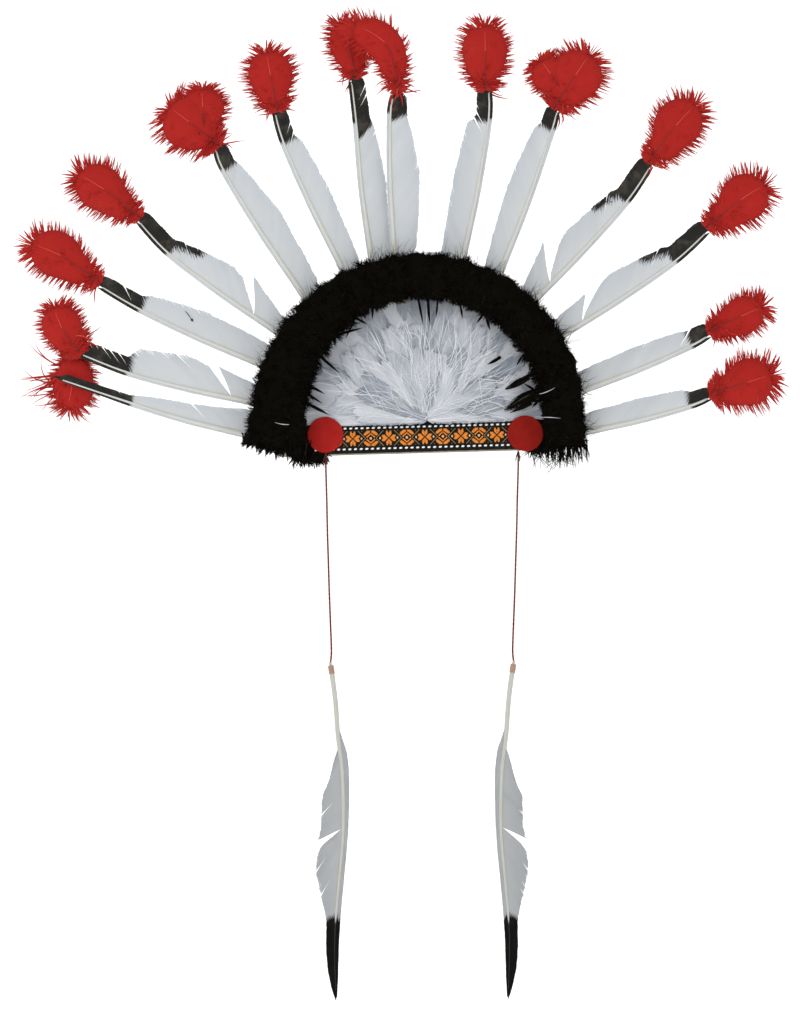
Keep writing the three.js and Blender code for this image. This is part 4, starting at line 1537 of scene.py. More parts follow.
    def _lay_wisps(self, strands: Strands, dice: Dice) -> None:
        """Lays long thin barbs that reach out of the boa over the feet of the feathers.

        Args:
            strands: Takes the barbs.
            dice: The source of random numbers.
        """
        steps, count = np.linspace(0, 1, 6), self.wisps
        for feather in FEATHERS:
            bearing = feather.seat + dice.normal(0, 3.2, count)
            point = np.array([ARCH_CENTRE + polar(value, 137) for value in bearing])
            aim = np.radians(feather.aim + dice.normal(0, 26, count))
            length = dice.uniform(5, 15, count) ** 1.05
            turn = aim[:, None] + dice.normal(0, 0.35, count)[:, None] * steps
            x, y = rays(point, turn, length[:, None] * steps)
            lines = world(x, y, dice.uniform(11, 24, count)[:, None])
            strands.add(lines, np.interp(steps, [0, 1], [0.4, 0.08]), dice.uniform(-1, 1, count))


# ---------------------------------------------------------------- hackle panel


@dataclass(frozen=True)
class HackleRow:
    """One row of hackles: its node, its height, its count and its reach, mm."""

    node: str
    low: float
    count: int
    inner: float
    outer: float
    wide: float


@dataclass
class HacklePanel:
    """The half disc of white hackles, in three rows that cover each other's feet."""

    root: Pair = (5.0, 14.0)
    thickness: float = 2.3
    rim: float = 103.0
    tucked: float = 2.2
    pitch: float = 0.6
    bed_barbs: int = 560
    filaments: int = 340
    rows: Sequence[HackleRow] = (
        HackleRow("hackle_row_outer", 2.5, 54, 30, 98, 18),
        HackleRow("hackle_row_middle", 4.9, 38, 14, 82, 15),
        HackleRow("hackle_row_inner", 7.5, 32, 3, 58, 14),
    )

    def build(self) -> None:
        """Builds the three rows, a bed under them and loose filaments over them."""
        for index, row in enumerate(self.rows):
            dice = np.random.default_rng(400 + index)
            strands = Strands()
            for leaf in dice.permutation(row.count):
                self._lay_hackle(strands, row, int(leaf), dice)
            if row is self.rows[0]:
                self._lay_bed(strands, dice)
            if row is self.rows[-1]:
                self._lay_filaments(strands, dice)
            strands.piece(f"{row.node}_feathers", Finish.HACKLE, row.node)

    def _lay_hackle(self, strands: Strands, row: HackleRow, leaf: int, dice: Dice) -> None:
        """Lays one hackle: a fine shaft with soft barbs close together on both sides.

        Args:
            strands: Takes the barbs.
            row: The hackle's row.
            leaf: Its number in the row.
            dice: The source of random numbers.
        """
        spine = self._leaf_spine(row, leaf, dice)
        low = row.low + dice.uniform(0.0, 0.9)
        roots = np.arange(0.5, spine.length * 0.985, self.pitch)
        at, count = roots / spine.length, len(roots)
        half = row.wide / 2 * np.interp(at, [0, 0.15, 0.45, 0.75, 0.92, 1], [0.6, 0.85, 1.0, 0.85, 0.5, 0.12])
        # Painted shade and highlight: a tone for each hackle, mostly below zero, greys many hackles as if
        # shaded where they overlap and lightens a few as if lit.
        grey, lean = dice.uniform(-0.9, 0.5), dice.uniform(1.3, 2.1)
        steps = np.linspace(0, 1, 5)
        for side in (1, -1):
            wide = half * (1 + smooth_noise(roots, 4, dice) * 0.16 + dice.uniform(-0.13, 0.08, count))
            forward = wide * (lean + smooth_noise(roots, 4, dice) * 0.4)
            along = roots[:, None] + forward[:, None] * steps ** 1.15
            arch = np.sin(np.clip(along / spine.length, 0, 1) * math.pi) - 0.7 * steps ** 2
            lift = np.clip(low + arch, row.low - 0.2, row.low + self.thickness)
            lines = spine.place(along, side * wide[:, None] * steps ** 0.92, lift)
            tone = grey + smooth_noise(roots, 8, dice) * 0.2 + dice.uniform(-0.12, 0.12, count)
            widths = np.interp(steps, [0, 0.8, 1], [0.9, 1.0, 0.25])
            strands.add(self._tuck(lines), widths, tone, shingled(lines, 0.06 * side))
        steps = np.linspace(0, 1, 9)
        line = spine.place(steps * spine.length * 0.97, 0, low + 0.35 + np.sin(steps * math.pi))
        strands.add(self._tuck(line), np.interp(steps, [0, 1], [0.8, 0.25]), grey + 0.7)

    def _leaf_spine(self, row: HackleRow, leaf: int, dice: Dice) -> Spine:
        """The middle line of a hackle, which ends at the rim in the outer row.

        Args:
            row: The hackle's row.
            leaf: Its number in the row.
            dice: The source of random numbers.

        Returns:
            The line.
        """
        bearing = -5 + 190 * (leaf + 0.5) / row.count + dice.normal(0, 2.0)
        start = np.array(self.root) + polar(bearing, row.inner * dice.uniform(0.8, 1.2))
        start = start + (dice.normal(0, 4.5), 0)
        aim = bearing + dice.normal(0, 11)
        length = (row.outer - row.inner) * dice.uniform(0.82, 1.1)
        if row is self.rows[0]:
            away = start - ARCH_CENTRE
            onward = float(away @ polar(aim, 1))
            rest = (self.rim + dice.uniform(-2, 4)) ** 2 - float(away @ away)
            length = math.sqrt(max(onward ** 2 + rest, 1.0)) - onward
        middle = start + polar(aim, length / 2) + polar(aim + 90, dice.normal(0, 3.5))
        return Spine([start, middle, start + polar(aim, length)], 12)

    def _lay_bed(self, strands: Strands, dice: Dice) -> None:
        """Lays straight barbs side by side under the hackles, out to the rim, in a dark tone of painted
        shade.

        Args:
            strands: Takes the barbs.
            dice: The source of random numbers.
        """
        turn = np.radians(np.linspace(-3, 183, self.bed_barbs))[:, None]
        x, y = rays(ARCH_CENTRE + (0, -4), turn, np.linspace(40, self.rim, 5))
        lines = self._tuck(world(x, y, self.thickness + 0.1))
        # Painted shade: the bed's tone is set low, so where it shows between the hackles it reads grey, as if
        # in their shade.
        tone = smooth_noise(np.arange(float(self.bed_barbs)), 12, dice) * 0.4 - 0.7
        strands.add(lines, np.full(x.shape, 1.7), tone, shingled(lines, 0.1))

    def _lay_filaments(self, strands: Strands, dice: Dice) -> None:
        """Lays long fine barbs that have come loose and lie over the rows.

        Args:
            strands: Takes the barbs.
            dice: The source of random numbers.
        """
        count, steps = self.filaments, np.linspace(0, 1, 9)
        bearing, reach = dice.uniform(4, 176, count), dice.uniform(8, 76, count)
        start = np.array([np.array(self.root) + polar(b, r) for b, r in zip(bearing, reach)])
        start = start + dice.normal(0, 1, (count, 2)) * (7, 2)
        length = np.minimum(dice.uniform(12, 36, count), 94 - reach)
        turn = np.radians(bearing + dice.normal(0, 23, count))[:, None]
        x, y = paths(start, turn + dice.normal(0, 0.5, count)[:, None] * steps, length)
        lines = self._tuck(world(x, y, dice.uniform(9.6, 10.3, count)[:, None]))
        widths = np.interp(steps, [0, 0.4, 1], [0.3, 0.5, 0.12]) * dice.uniform(0.6, 1.2, count)[:, None]
        strands.add(lines, widths, dice.uniform(0.3, 1.2, count))

    def _tuck(self, lines: Array) -> Array:
        """Tucks the parts of strands below the ribbon's edge or behind the rosettes out of sight.

        Args:
            lines: The strands' lines, in metres.

        Returns:
            The lines with those parts set back.
        """
        x, y = lines[..., 0] / MM, lines[..., 2] / MM
        behind = y < 12.0 + x * math.tan(BAND_TILT)
        for centre in (ROSETTE_LEFT, ROSETTE_RIGHT):
            behind |= np.hypot(x - centre[0], y - centre[1]) < 15.2
        depth = np.where(behind, -self.tucked * MM, lines[..., 1])
        return np.stack([lines[..., 0], depth, np.maximum(lines[..., 2], -6 * MM)], axis=-1)


# ---------------------------------------------------------------- ribbon


@dataclass(frozen=True)
class Figure:
    """A figure of the ribbon's repeat: its floss and its corners in a quarter of the repeat, mm."""

    floss: Finish
    corners: tuple[Pair, ...]


@dataclass
class Ribbon:
    """The woven ribbon: a black ground with figures laid in floss over it."""

    width: float = 25.0
    left: float = -96.0
    right: float = 100.0
    ground_steps: int = 98
    selvedge: float = 11.6
    repeat: float = 30.6
    first_flower: float = 2.4
    figure_half: float = 6.3
    float_pitch: float = 0.42
    dash: Pair = (2.6, 1.5)
    dash_pitch: float = 4.8
    dash_row: float = 8.8
    figures: Sequence[Figure] = (
        Figure(Finish.ORANGE_FLOSS, ((0.0, 0.5), (2.6, 3.4), (2.2, 5.9), (0.7, 6.1), (0.7, 5.0), (0.0, 5.0))),
        Figure(Finish.ORANGE_FLOSS, ((0.5, 0.0), (3.4, 2.7), (6.0, 2.5), (6.2, 1.5), (5.2, 0.4), (5.0, 0.0))),
        Figure(Finish.CREAM_FLOSS, ((6.5, 0.0), (7.1, 0.9), (7.7, 0.9), (8.3, 0.0))),
        Figure(Finish.BEIGE_FLOSS, ((4.2, 6.5), (4.9, 6.5), (11.2, 0.0), (10.5, 0.0))),
        Figure(Finish.ORANGE_FLOSS, ((15.3, 4.6), (15.3, 3.2), (12.2, 0.3), (11.3, 1.2))),
        Figure(Finish.ORANGE_FLOSS, (
            (15.0, 6.3), (15.0, 5.1), (11.0, 2.4), (8.9, 2.7), (9.7, 4.6), (12.0, 6.4),
        )),
        Figure(Finish.CREAM_FLOSS, ((15.3, 1.0), (15.3, 0.0), (14.2, 0.0), (14.6, 0.9))),
        Figure(Finish.GREY_FLOSS, ((7.7, 5.4), (8.2, 5.9), (7.9, 6.5), (7.2, 6.2))),
    )
    flosses: Sequence[Finish] = (
        Finish.ORANGE_FLOSS, Finish.BEIGE_FLOSS, Finish.CREAM_FLOSS, Finish.GREY_FLOSS, Finish.WHITE_FLOSS,
    )

    def build(self) -> None:
        """Builds the ground and the floss."""
        ground, floss = self._ground(), self._floss()

    def _placed(self, x: Array, y: Array, z: Array) -> Array:
        """Turns places given along and across the band into the shared frame."""
        cosine, sine = math.cos(BAND_TILT), math.sin(BAND_TILT)
        return world(x * cosine - y * sine, x * sine + y * cosine, z)

    def _ground(self) -> Piece:
        """Builds the ground: a thin strip with rounded selvedges that stand up a little.

        Returns:
            The piece.
        """
        shape, steps = bmesh.new(), self.ground_steps
        bmesh.ops.create_grid(shape, x_segments=steps, y_segments=24, size=0.5)
        wander = np.random.default_rng(51).uniform(-0.12, 0.12, steps + 1)
        for vert in shape.verts:
            x = vert.co.x * (self.right - self.left) + (self.right + self.left) / 2
            y = vert.co.y * self.width + wander[round((vert.co.x + 0.5) * steps)] * (abs(vert.co.y) > 0.49)
            rib = 0.12 * math.exp(-((abs(y) - self.selvedge) / 0.7) ** 2)
            vert.co = self._placed(x, y, LAYERS.on_backing + 0.85 + rib)
        thicken(shape, 0.8)
        return solid_piece("ribbon_ground", shape, Finish.RIBBON, "ribbon_band")

    def _runs(self, corners: Array, height: float) -> list[Pair]:
        """Where a level line crosses a closed figure.

        Args:
            corners: The figure's corners.
            height: The line's height.

        Returns:
            Runs from edge to edge.
        """
        start, end = corners, np.roll(corners, -1, axis=0)
        hit = (start[:, 1] > height) != (end[:, 1] > height)
        slope = (height - start[hit, 1]) / (end[hit, 1] - start[hit, 1])
        across = np.sort(start[hit, 0] + slope * (end[hit, 0] - start[hit, 0]))
        return list(zip(across[::2], across[1::2]))

    def _floats(self) -> dict[Finish, list[tuple[float, float, float, float]]]:
        """The floats of floss that fill the figures, and the two rows of white dashes.

        Returns:
            Each floss with its floats' starts, ends, places across and widths, mm.
        """
        floats = {floss: [] for floss in self.flosses}
        centres = self.first_flower + self.repeat * np.arange(-3, 4)
        rows = np.arange(-self.figure_half, self.figure_half + 0.01, self.float_pitch)
        for figure in self.figures:
            for across, up in ((1, 1), (-1, 1), (1, -1), (-1, -1)):
                corners = np.array(figure.corners) * (across, up)
                for height in rows:
                    for first, last in self._runs(corners, height + 1e-4):
                        floats[figure.floss] += [
                            (centre + first, centre + last, height, self.float_pitch * 0.98)
                            for centre in centres
                            if self.left + 4 < centre + first and centre + last < self.right - 4
                        ]
        length, wide = self.dash
        for side in (1, -1):
            for number in range(int((self.right - self.left - 8) / self.dash_pitch)):
                start = self.left + 5 + number * self.dash_pitch + side * 0.6
                floats[Finish.WHITE_FLOSS].append((start, start + length, side * self.dash_row, wide))
        return floats

    def _pads(self, rows: Array, height: float) -> tuple[Array, Array]:
        """Makes a low rounded pad for each float.

        Args:
            rows: Each float's start, end, place across and width, mm.
            height: The height of the pads, mm.

        Returns:
            The pads' places and their faces, numbered from 0.
        """
        start, end, across, wide = rows.T
        middle, half = (start + end) / 2, (end - start) / 2
        edge, slant, low = np.minimum(half, wide * 0.35), 0.12 * (wide > 1), LAYERS.on_backing + 1.0
        rings = ((half, wide / 2, 0.0), (half, wide / 2, height * 0.45),
                 (half - edge * 0.45, wide * 0.36, height * 0.85), (half - edge, wide * 0.16, height))
        around = ((-1, -1), (0, -1.12), (1, -1), (1.06, 0), (1, 1), (0, 1.12), (-1, 1), (-1.06, 0))
        places, faces, sides = [], [], len(around)
        for along, aside, lift in rings:
            for x, y in around:
                corner = 0.82 if x and y else 1.0
                out = y * aside * corner
                sheer = out * slant * 2
                places.append(self._placed(middle + x * along * corner + sheer, across + out, low + lift))
        places = np.stack(places, axis=1)
        for base in range(0, 3 * sides, sides):
            for step in range(sides):
                after = (step + 1) % sides
                faces.append((base + step, base + after, base + sides + after, base + sides + step))
        top = 3 * sides
        faces += [(top, top + 1, top + 2, top + 3), (top, top + 3, top + 4, top + 7),
                  (top + 4, top + 5, top + 6, top + 7), (3, 2, 1, 0), (7, 4, 3, 0), (7, 6, 5, 4)]
        corner = np.arange(len(rows))[:, None, None] * places.shape[1]
        return places.reshape(-1, 3), (np.array(faces)[None] + corner).reshape(-1, 4)

    def _floss(self) -> Piece:
        """Builds the floss of every figure as one piece, a material each.

        Returns:
            The piece.
        """
        meshes = [self._pads(np.array(rows), 0.55 if floss is Finish.WHITE_FLOSS else 0.3)
                  for floss, rows in self._floats().items()]
        places = np.concatenate([points for points, _ in meshes])
        offsets = np.cumsum([0] + [len(points) for points, _ in meshes[:-1]])
        faces = np.concatenate([quads + offset for (_, quads), offset in zip(meshes, offsets)])
        mesh = bpy.data.meshes.new("ribbon_floss")
        mesh.from_pydata(places.tolist(), [], faces.tolist())
        number = np.repeat(range(len(meshes)), [len(quads) for _, quads in meshes])
        mesh.polygons.foreach_set("material_index", number)
        mesh.polygons.foreach_set("use_smooth", np.ones(len(faces), dtype=bool))
        mesh.update()
        piece = in_scene("ribbon_floss", mesh, *[floss.material() for floss in self.flosses])
        return settled(piece, Finish.RIBBON.slot, "ribbon_band")


# ---------------------------------------------------------------- felt


@dataclass
class Felt:
    """The backing and the two rosettes."""

    backing_radius: float = 124.0
    backing_foot: float = -13.8
    rosette_radius: float = 15.0
    rosette_thickness: float = 2.5
    rosette_depth: float = 1.9
    fibres: int = 1500
    edge_fibres: int = 500

    def build(self) -> None:
        """Builds the backing and the rosettes."""
        self._backing()
        self._rosette("left", ROSETTE_LEFT, Finish.RED_FELT, 61)
        self._rosette("right", ROSETTE_RIGHT, Finish.DEEP_RED_FELT, 62)

    def _backing(self) -> None:
        """Builds the backing: a disc of felt cut off level at its foot."""
        shape, radius, drop = bmesh.new(), self.backing_radius, ARCH_CENTRE[1] - self.backing_foot
        bmesh.ops.create_circle(shape, cap_ends=True, segments=180, radius=radius * MM)
        upright(shape, ARCH_CENTRE, 0)
        bmesh.ops.bisect_plane(
            shape, geom=shape.verts[:] + shape.edges[:] + shape.faces[:],
            plane_co=(0, 0, self.backing_foot * MM), clear_outer=True,
            plane_no=(math.sin(BAND_TILT), 0, -math.cos(BAND_TILT)),
        )
        extruded = bmesh.ops.extrude_face_region(shape, geom=shape.faces[:])
        moved = [item for item in extruded["geom"] if isinstance(item, bmesh.types.BMVert)]
        bmesh.ops.translate(shape, vec=(0, -LAYERS.backing * MM, 0), verts=moved)
        bmesh.ops.recalc_face_normals(shape, faces=shape.faces)
        rim = [edge for edge in shape.edges if abs(edge.calc_face_angle(0)) > 0.8]
        bmesh.ops.bevel(
            shape, geom=rim, offset=0.5 * MM, segments=2, profile=0.5, affect="EDGES", material=-1
        )
        backing = solid_piece("backing_felt_disc", shape, Finish.BACKING, "backing_panel")

    def _rosette(self, side: str, centre: Pair, finish: Finish, seed: int) -> None:
        """Builds a rosette: a thick disc of felt with a soft, slightly uneven edge and loose fibres.

        Args:
            side: The side that it is on.
            centre: Its middle in the drawing plane, mm.
            finish: Its finish.
            seed: Where its random numbers start.
        """
        dice, shape, radius = np.random.default_rng(seed), bmesh.new(), self.rosette_radius * MM
        bmesh.ops.create_circle(shape, cap_ends=True, segments=64, radius=radius)
        bmesh.ops.inset_region(shape, faces=shape.faces[:], thickness=0.9 * MM, depth=0)
        disc = max(shape.faces, key=lambda face: face.calc_area())
        for _ in range(5):
            bmesh.ops.inset_region(shape, faces=[disc], thickness=2.4 * MM, depth=0)
        wobble = dice.uniform(0, math.tau, 3)
        for vert in shape.verts:
            bearing, far = math.atan2(vert.co.y, vert.co.x), vert.co.length / radius
            uneven = 1 + 0.012 * math.sin(3 * bearing + wobble[0]) + 0.008 * math.sin(7 * bearing + wobble[1])
            vert.co.x *= 1 + (uneven - 1) * far
            vert.co.y *= 1 + (uneven - 1) * far
            vert.co.z += 0.25 * MM * math.sin(2 * bearing + wobble[2]) * far ** 2 + 0.35 * MM * (1 - far ** 4)
        upright(shape, centre, LAYERS.on_ribbon + self.rosette_thickness - 0.5)
        thicken(shape, self.rosette_depth)
        rosette = solid_piece(f"rosette_{side}_felt", shape, finish, f"rosette_{side}")
        soften = rosette.modifiers.new("soft edge", "BEVEL")
        soften.width, soften.segments, soften.limit_method = 0.5 * MM, 3, "ANGLE"
        fuzz = self._fuzz(centre, dice).piece(f"rosette_{side}_fuzz", finish, f"rosette_{side}")

    def _fuzz(self, centre: Pair, dice: Dice) -> Strands:
        """Makes the short loose fibres on a rosette's face and edge.

        Args:
            centre: The rosette's middle in the drawing plane, mm.
            dice: The source of random numbers.

        Returns:
            The fibres.
        """
        strands, steps, count = Strands(), np.linspace(0, 1, 4), self.fibres
        edge = np.arange(count) < self.edge_fibres
        reach = self.rosette_radius * np.where(edge, 0.99, np.sqrt(dice.uniform(0.02, 1.0, count)))
        bearing = dice.uniform(0, math.tau, count)
        aim = np.where(edge, bearing + dice.normal(0, 0.7, count), dice.uniform(0, math.tau, count))
        length = dice.uniform(0.5, 1.1, count)
        begin = np.stack(rays(np.array(centre), bearing, reach), -1)
        x, y = rays(begin, aim[:, None], length[:, None] * steps)
        rise = np.where(edge, -0.9, -0.05)[:, None] + 0.25 * np.sin(steps * math.pi)
        lines = world(x, y, LAYERS.on_ribbon + self.rosette_thickness + rise)
        strands.add(lines, np.interp(steps, [0, 1], [0.12, 0.05]), dice.uniform(-1, 1, count))
        return strands


# ---------------------------------------------------------------- cords and drop feathers


class Side(Enum):
    """The two sides of the headdress."""

    LEFT = "left"
    RIGHT = "right"


RIGHT_LIFT = 1.2
RIGHT_CORD_START = -11.8
CORD_ROUTE = (
    (-81.6, -13.8), (-81.6, -24), (-81.3, -38), (-80.8, -54), (-80.5, -70), (-80.1, -86), (-79.6, -102),
    (-79.1, -118), (-78.6, -134), (-78, -150), (-77.4, -165), (-77, -176), (-76.9, -184), (-77.6, -191.2),
)
DROP_SHAFT = (
    (-77.8, -191.8), (-73.6, -223), (-71.2, -255), (-67.6, -286), (-66.9, -333), (-69.6, -368),
    (-73.2, -408), (-74.2, -440), (-72.8, -478),
)


def on_side(spot: Pair, side: Side) -> Pair:
    """A place given for the left side, or its mirror image on the right."""
    return spot if side is Side.LEFT else (-spot[0], spot[1] + RIGHT_LIFT)


@dataclass
class Cord:
    """A twisted cord that hangs from a rosette."""

    side: Side
    diameter: float = 1.6
    turns: float = 46.0
    stride: float = 0.32
    knot_drop: float = 2.0
    wrap_reach: float = 0.95
    tails: Sequence[Pair] = ((-58, 7.0), (-128, 7.5), (-66, 5.0), (-112, 4.0))

    def route(self) -> Spine:
        """The cord's line, from under the rosette to the drop feather's quill."""
        points = [on_side(spot, self.side) for spot in CORD_ROUTE]
        if self.side is Side.RIGHT:
            points[0] = (points[0][0], RIGHT_CORD_START)
        return Spine(points)

    def build(self) -> None:
        """Builds the cord and the loose ends of its knot."""
        spine, half, name = self.route(), self.diameter / 2, f"cord_{self.side.value}"
        line = spine.place(np.linspace(0, spine.length, int(spine.length / self.stride)), 0, LAYERS.hang)
        cord = tube_piece(
            f"{name}_twist", Finish.CORD, line, half, half * 0.9, 10, name, twist=self.turns * math.pi
        )
        [tuple(float(value) for value in point) for point in [*line[::4], line[-1]]]
        self._knot(name, spine)

    def _knot(self, name: str, spine: Spine) -> Piece:
        """Builds the knot under the rosette: two wraps and short dark tails.

        Args:
            name: The name of the cord.
            spine: Its line.

        Returns:
            The piece.
        """
        shape = bmesh.new()
        point, _, _ = spine.at(self.knot_drop)
        steps = np.linspace(0, math.tau, 22)
        for lower in (0.0, 1.1):
            x = point[0] + self.wrap_reach * np.cos(steps)
            y = point[1] - lower + 0.25 * np.sin(steps)
            add_tube(shape, world(x, y, LAYERS.hang + self.wrap_reach * np.sin(steps)), 0.45, 0.45, 8)
        steps = np.linspace(0, 1, 9)
        for turn, length in self.tails:
            bearing = np.radians(turn) - 0.4 * steps * math.copysign(1, turn + 90)
            line = world(*rays(point, bearing, length * steps), LAYERS.hang + 0.8)
            add_tube(shape, line, np.linspace(0.75, 0.3, 9), np.linspace(0.6, 0.25, 9), 7)
        return solid_piece(f"{name}_knot", shape, Finish.KNOT)


@dataclass
class DropFeather:
    """A long white quill feather with a black tip, bound to the end of a cord."""

    side: Side
    length: float = 287.0
    neck: float = 218.0
    blunt_end: float = -0.9
    binding_start: float = 2.4
    binding_turns: int = 9
    binding_reach: float = 2.15
    thread: float = 0.42
    shaft_widths: Table = (
        (-0.9, 0.9), (0.5, 1.7), (10, 2.1), (60, 1.9), (140, 1.4), (216, 0.95), (222, 0.45), (280, 0.3),
    )
    lobe_edge: Table = (
        (73, 0.8), (80, 4.6), (86, 7.2), (101, 11.8), (114, 17.7), (126, 18.7), (140, 18.9), (152, 20.8),
    )
    lobe_slits: Sequence[Slit] = (Slit(112, 1.4),)
    body_edge: Table = (
        (148.5, 8.0), (152, 11.5), (157, 16.5), (166, 20.8), (177, 21), (186, 18.5), (195, 15.8),
        (205, 12.2), (215, 9.2), (221, 7.6), (245, 7), (262, 6), (276, 3.6), (287, 0.5),
    )
    body_slits: Sequence[Slit] = (Slit(149, 1.6), Slit(163, 1.0), Slit(172, 2.0))
    narrow_edge: Table = (
        (56, 1.0), (66, 3.4), (76, 5.5), (95, 5.6), (120, 4.8), (150, 4.0), (221, 4.0), (250, 3.4),
        (270, 2.2), (285, 0.6),
    )

    def build(self) -> None:
        """Builds the vane, the shaft and the thread binding."""
        spine = Spine([on_side(spot, self.side) for spot in DROP_SHAFT])
        left, name = self.side is Side.LEFT, f"drop_feather_{self.side.value}"
        side, dice = (-1, np.random.default_rng(71)) if left else (1, np.random.default_rng(72))
        strands = Strands()
        broad = VaneSide(spine, side, self._lift, dice, angle=28.0, camber=0.05)
        last = broad.lay(
            strands, self.lobe_edge, self._inked, self.lobe_slits, last_root=140.5, first_root=60.0,
            frayed=0.1,
        )
        broad.lay(
            strands, self.body_edge, self._inked, self.body_slits, first_root=last + 0.6, frayed=0.12,
            softness=3.0,
        )
        narrow = VaneSide(spine, -side, self._lift, dice, angle=18.0)
        narrow.lay(strands, self.narrow_edge, self._inked, frayed=0.05)
        strands.piece(f"{name}_vane", Finish.DROP_VANE, name)
        distance = np.linspace(self.blunt_end, self.length - 8, 49)
        half = read(self.shaft_widths, distance)
        line = spine.place(distance, 0, LAYERS.hang)
        tube_piece(f"{name}_shaft", Finish.DROP_SHAFT, line, half, half * 0.85, 12, name)
        self._binding(name, spine)

    def _lift(self, along: Array) -> Array:
        """The height at places along the shaft, which is level."""
        return np.full(along.shape, LAYERS.hang)

    def _inked(self, roots: Array, along: Array, aside: Array) -> Array:
        """The black share of barbs, which starts at the neck with a ragged border.

        Args:
            roots: Where the barbs leave the shaft.
            along: Places along the shaft.
            aside: Places away from it.

        Returns:
            The share at each place, from 0 to 1.
        """
        stray = np.sin(roots * 1.9) * 1.0 + np.sin(roots * 4.3) * 1.4
        place = along * 0.6 + (roots + 12) * 0.4
        return np.clip((place - self.neck + stray) / 1.6, 0, 1)

    def _binding(self, name: str, spine: Spine) -> None:
        """Builds the thread that is wound round the top of the quill.

        Args:
            name: The name of the drop feather.
            spine: Its line.
        """
        shape, steps = bmesh.new(), np.linspace(0, math.tau, 20)
        for turn in range(self.binding_turns):
            distance = self.binding_start + turn * 0.8 + steps / math.tau * 0.5
            reach = self.binding_reach - 0.02 * abs(turn - self.binding_turns // 2)
            line = spine.place(distance, reach * np.cos(steps), LAYERS.hang + reach * np.sin(steps))
            add_tube(shape, line, self.thread, self.thread, 8)
        solid_piece(f"{name}_binding", shape, Finish.BINDING, name)


# ---------------------------------------------------------------- elastic


@dataclass
class Strap:
    """The elastic that goes round the head behind the band."""

    width: float = 10.0
    thickness: float = 1.2
    half_span: float = 92.0
    depth: float = 150.0
    tab: float = 14.0
    back_width: float = 66.0
    gap: float = 0.3
    cords: int = 5
    pulse: float = 0.07
    pulse_pitch: float = 2.4
    steps: int = 420

    def build(self) -> None:
        """Builds the elastic with its covered cords and its frilled edges."""
        back = -2 * self.gap - self.thickness / 2
        span, depth = self.half_span, self.depth
        left = [
            (-(span - self.tab), back), (-span + 4, back), (-span - 1, back - 4), (-span, back - 32),
            (-span + 6, -depth * 0.55), (-self.back_width, -depth * 0.85), (-self.back_width / 2.6, -depth),
        ]
        spine, shape = Spine([*left, *[(-x, y) for x, y in reversed(left)]]), bmesh.new()
        distance = np.linspace(0, spine.length, self.steps)
        point, _, normal = spine.at(distance)
        pulse = self.pulse * np.sin(distance * math.tau / self.pulse_pitch)
        before, profile = None, self._profile()
        for step in range(self.steps):
            ring = []
            for aside, out in profile:
                flat = point[step] + normal[step] * (out + pulse[step] * np.sign(out))
                ring.append(shape.verts.new(Vector((flat[0], -flat[1], aside)) * MM))
            edges = [shape.edges.new((ring[i], ring[i - 1])) for i in range(len(ring))]
            if before:
                bmesh.ops.bridge_loops(shape, edges=before + edges)
            if step in (0, self.steps - 1):
                bmesh.ops.contextual_create(shape, geom=edges)
            before = edges
        strap = solid_piece("elastic_strap_braid", shape, Finish.ELASTIC, "elastic_strap")

    def _profile(self) -> list[Pair]:
        """The strap's section: its edge, with a rounded rib over each cord inside it."""
        half, deep = self.width / 2, self.thickness / 2
        across = np.linspace(-half, half, 4 * self.cords + 1)
        rib = deep * (0.62 + 0.38 * np.abs(np.sin((across + half) / self.width * math.pi * self.cords)))
        return [*zip(across, rib), *zip(across[::-1], -rib[::-1])]


# ---------------------------------------------------------------- studio


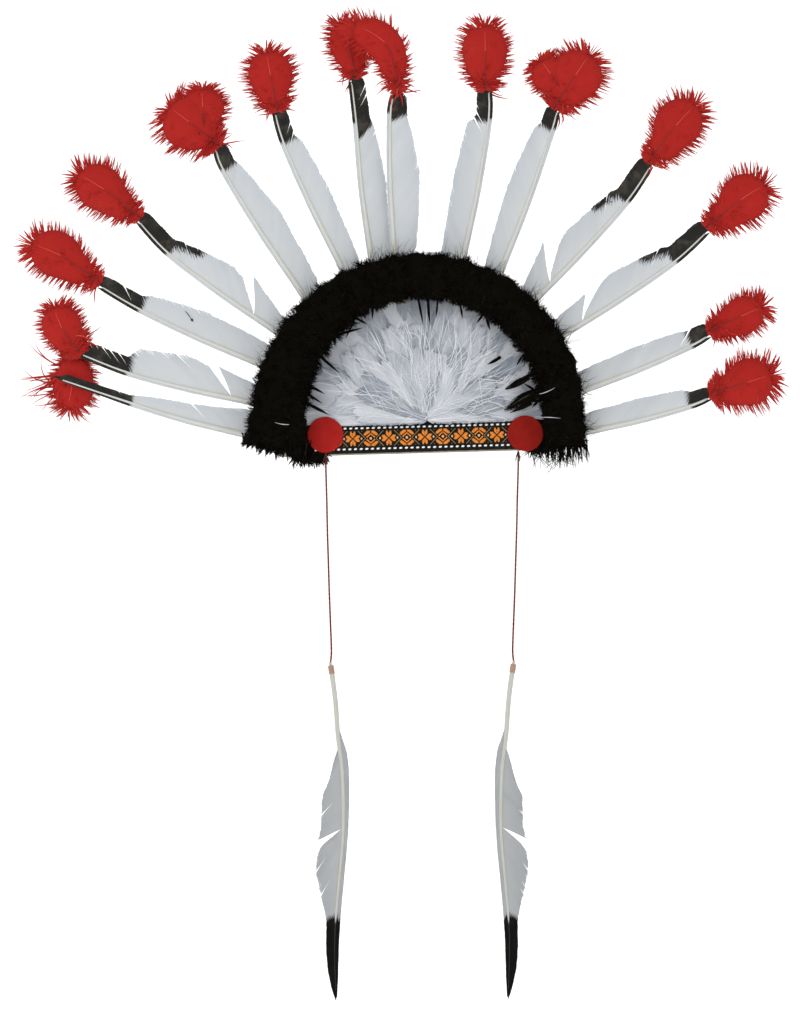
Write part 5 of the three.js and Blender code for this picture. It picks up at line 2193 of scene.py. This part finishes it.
@dataclass
class Studio:
    """The camera, the lights and the pale stage."""

    eye: Sequence[float] = (-0.0187, -2.399, -0.06035)
    lens: float = 100.0
    sensor: float = 36.0
    floor: float = -0.50
    stage_radius: float = 7.0
    stage_rim: float = 1.6
    wall: float = 3.2
    sky: float = 0.62
    glow: float = 0.38

    def build_camera(self) -> None:
        """Puts up the camera, level and square to the headdress."""
        data = bpy.data.cameras.new("camera")
        data.lens, data.sensor_width = self.lens, self.sensor
        data.clip_start, data.clip_end = 0.05, 60
        camera = bpy.data.objects.new("camera", data)
        camera.location = self.eye
        camera.rotation_euler = (math.pi / 2, 0, 0)
        bpy.context.collection.objects.link(camera)
        bpy.context.scene.camera = camera
        bpy.context.scene.view_settings.view_transform = "Standard"

    def build(self) -> None:
        """Builds the stage and the lights."""
        self._stage()
        self._light("key", (-1.3, -2.2, 1.5), 1.6, 26.0)
        self._light("fill", (1.6, -2.0, 0.2), 1.8, 5.0)
        self._light("back", (0.6, 1.8, 1.4), 1.4, 10.0)
        sky = bpy.data.worlds.new("sky")
        sky.use_nodes = True
        sky.node_tree.nodes["Background"].inputs["Color"].default_value = (1, 1, 1, 1)
        sky.node_tree.nodes["Background"].inputs["Strength"].default_value = self.sky
        bpy.context.scene.world = sky

    def _light(self, name: str, place: Sequence[float], size: float, power: float) -> None:
        """Puts up a square soft light that faces the headdress.

        Args:
            name: The name of the light.
            place: Where it stands, in metres.
            size: The length of its sides, in metres.
            power: Its power, in watts.
        """
        data = bpy.data.lights.new(name, "AREA")
        data.size, data.energy = size, power
        light = bpy.data.objects.new(name, data)
        light.location = place
        light.rotation_euler = Vector(place).to_track_quat("Z", "Y").to_euler()
        bpy.context.collection.objects.link(light)

    def _stage(self) -> None:
        """Builds a round floor whose rim curves up into a pale wall on every side."""
        shape, rim = bmesh.new(), self.stage_rim
        profile = [(0.001, 0.0)]
        for bearing in np.linspace(0, math.pi / 2, 12):
            reach = self.stage_radius - rim + rim * math.sin(bearing)
            profile.append((reach, rim * (1 - math.cos(bearing))))
        profile.append((self.stage_radius, self.wall))
        chain = [shape.verts.new((reach, 0, self.floor + height)) for reach, height in profile]
        edges = [shape.edges.new(pair) for pair in zip(chain, chain[1:])]
        bmesh.ops.spin(
            shape, geom=chain + edges, cent=(0, 0, 0), axis=(0, 0, 1), angle=math.tau, steps=72,
            use_merge=True, use_duplicate=False, dvec=(0, 0, 0),
        )
        bmesh.ops.remove_doubles(shape, verts=shape.verts, dist=0.002)
        graph = Graph("pale stage", 0.9, 0.1)
        cloud = graph.noise(900.0, 1.0)
        finish = graph.finish(graph.blend(cloud * 0.2, (248, 248, 248), (244, 244, 244)))
        graph.shader.inputs["Emission Color"].default_value = (1, 1, 1, 1)
        graph.shader.inputs["Emission Strength"].default_value = self.glow
        in_scene("stage", smooth_mesh("stage", shape), finish)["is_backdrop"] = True


# ---------------------------------------------------------------- assembly


def main() -> None:
    """Builds the headdress and its studio."""
    logging.basicConfig(level=logging.INFO, format="%(name)s: %(message)s")
    studio = Studio()
    studio.build_camera()
    for side in Side:
        Cord(side).build()
        DropFeather(side).build()
    feathers = TallFeathers()
    feathers.build()
    TipPlumes(feathers).build()
    Felt().build()
    Ribbon().build()
    HacklePanel().build()
    Boa().build()
    Strap().build()
    studio.build()
    boxes = {"cad": CAD_BOX, "visual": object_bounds()}
    plain = {name: [list(corner) for corner in box] for name, box in boxes.items()}
    log.info("boxes: %s", plain)


if __name__ == "__main__":
    main()
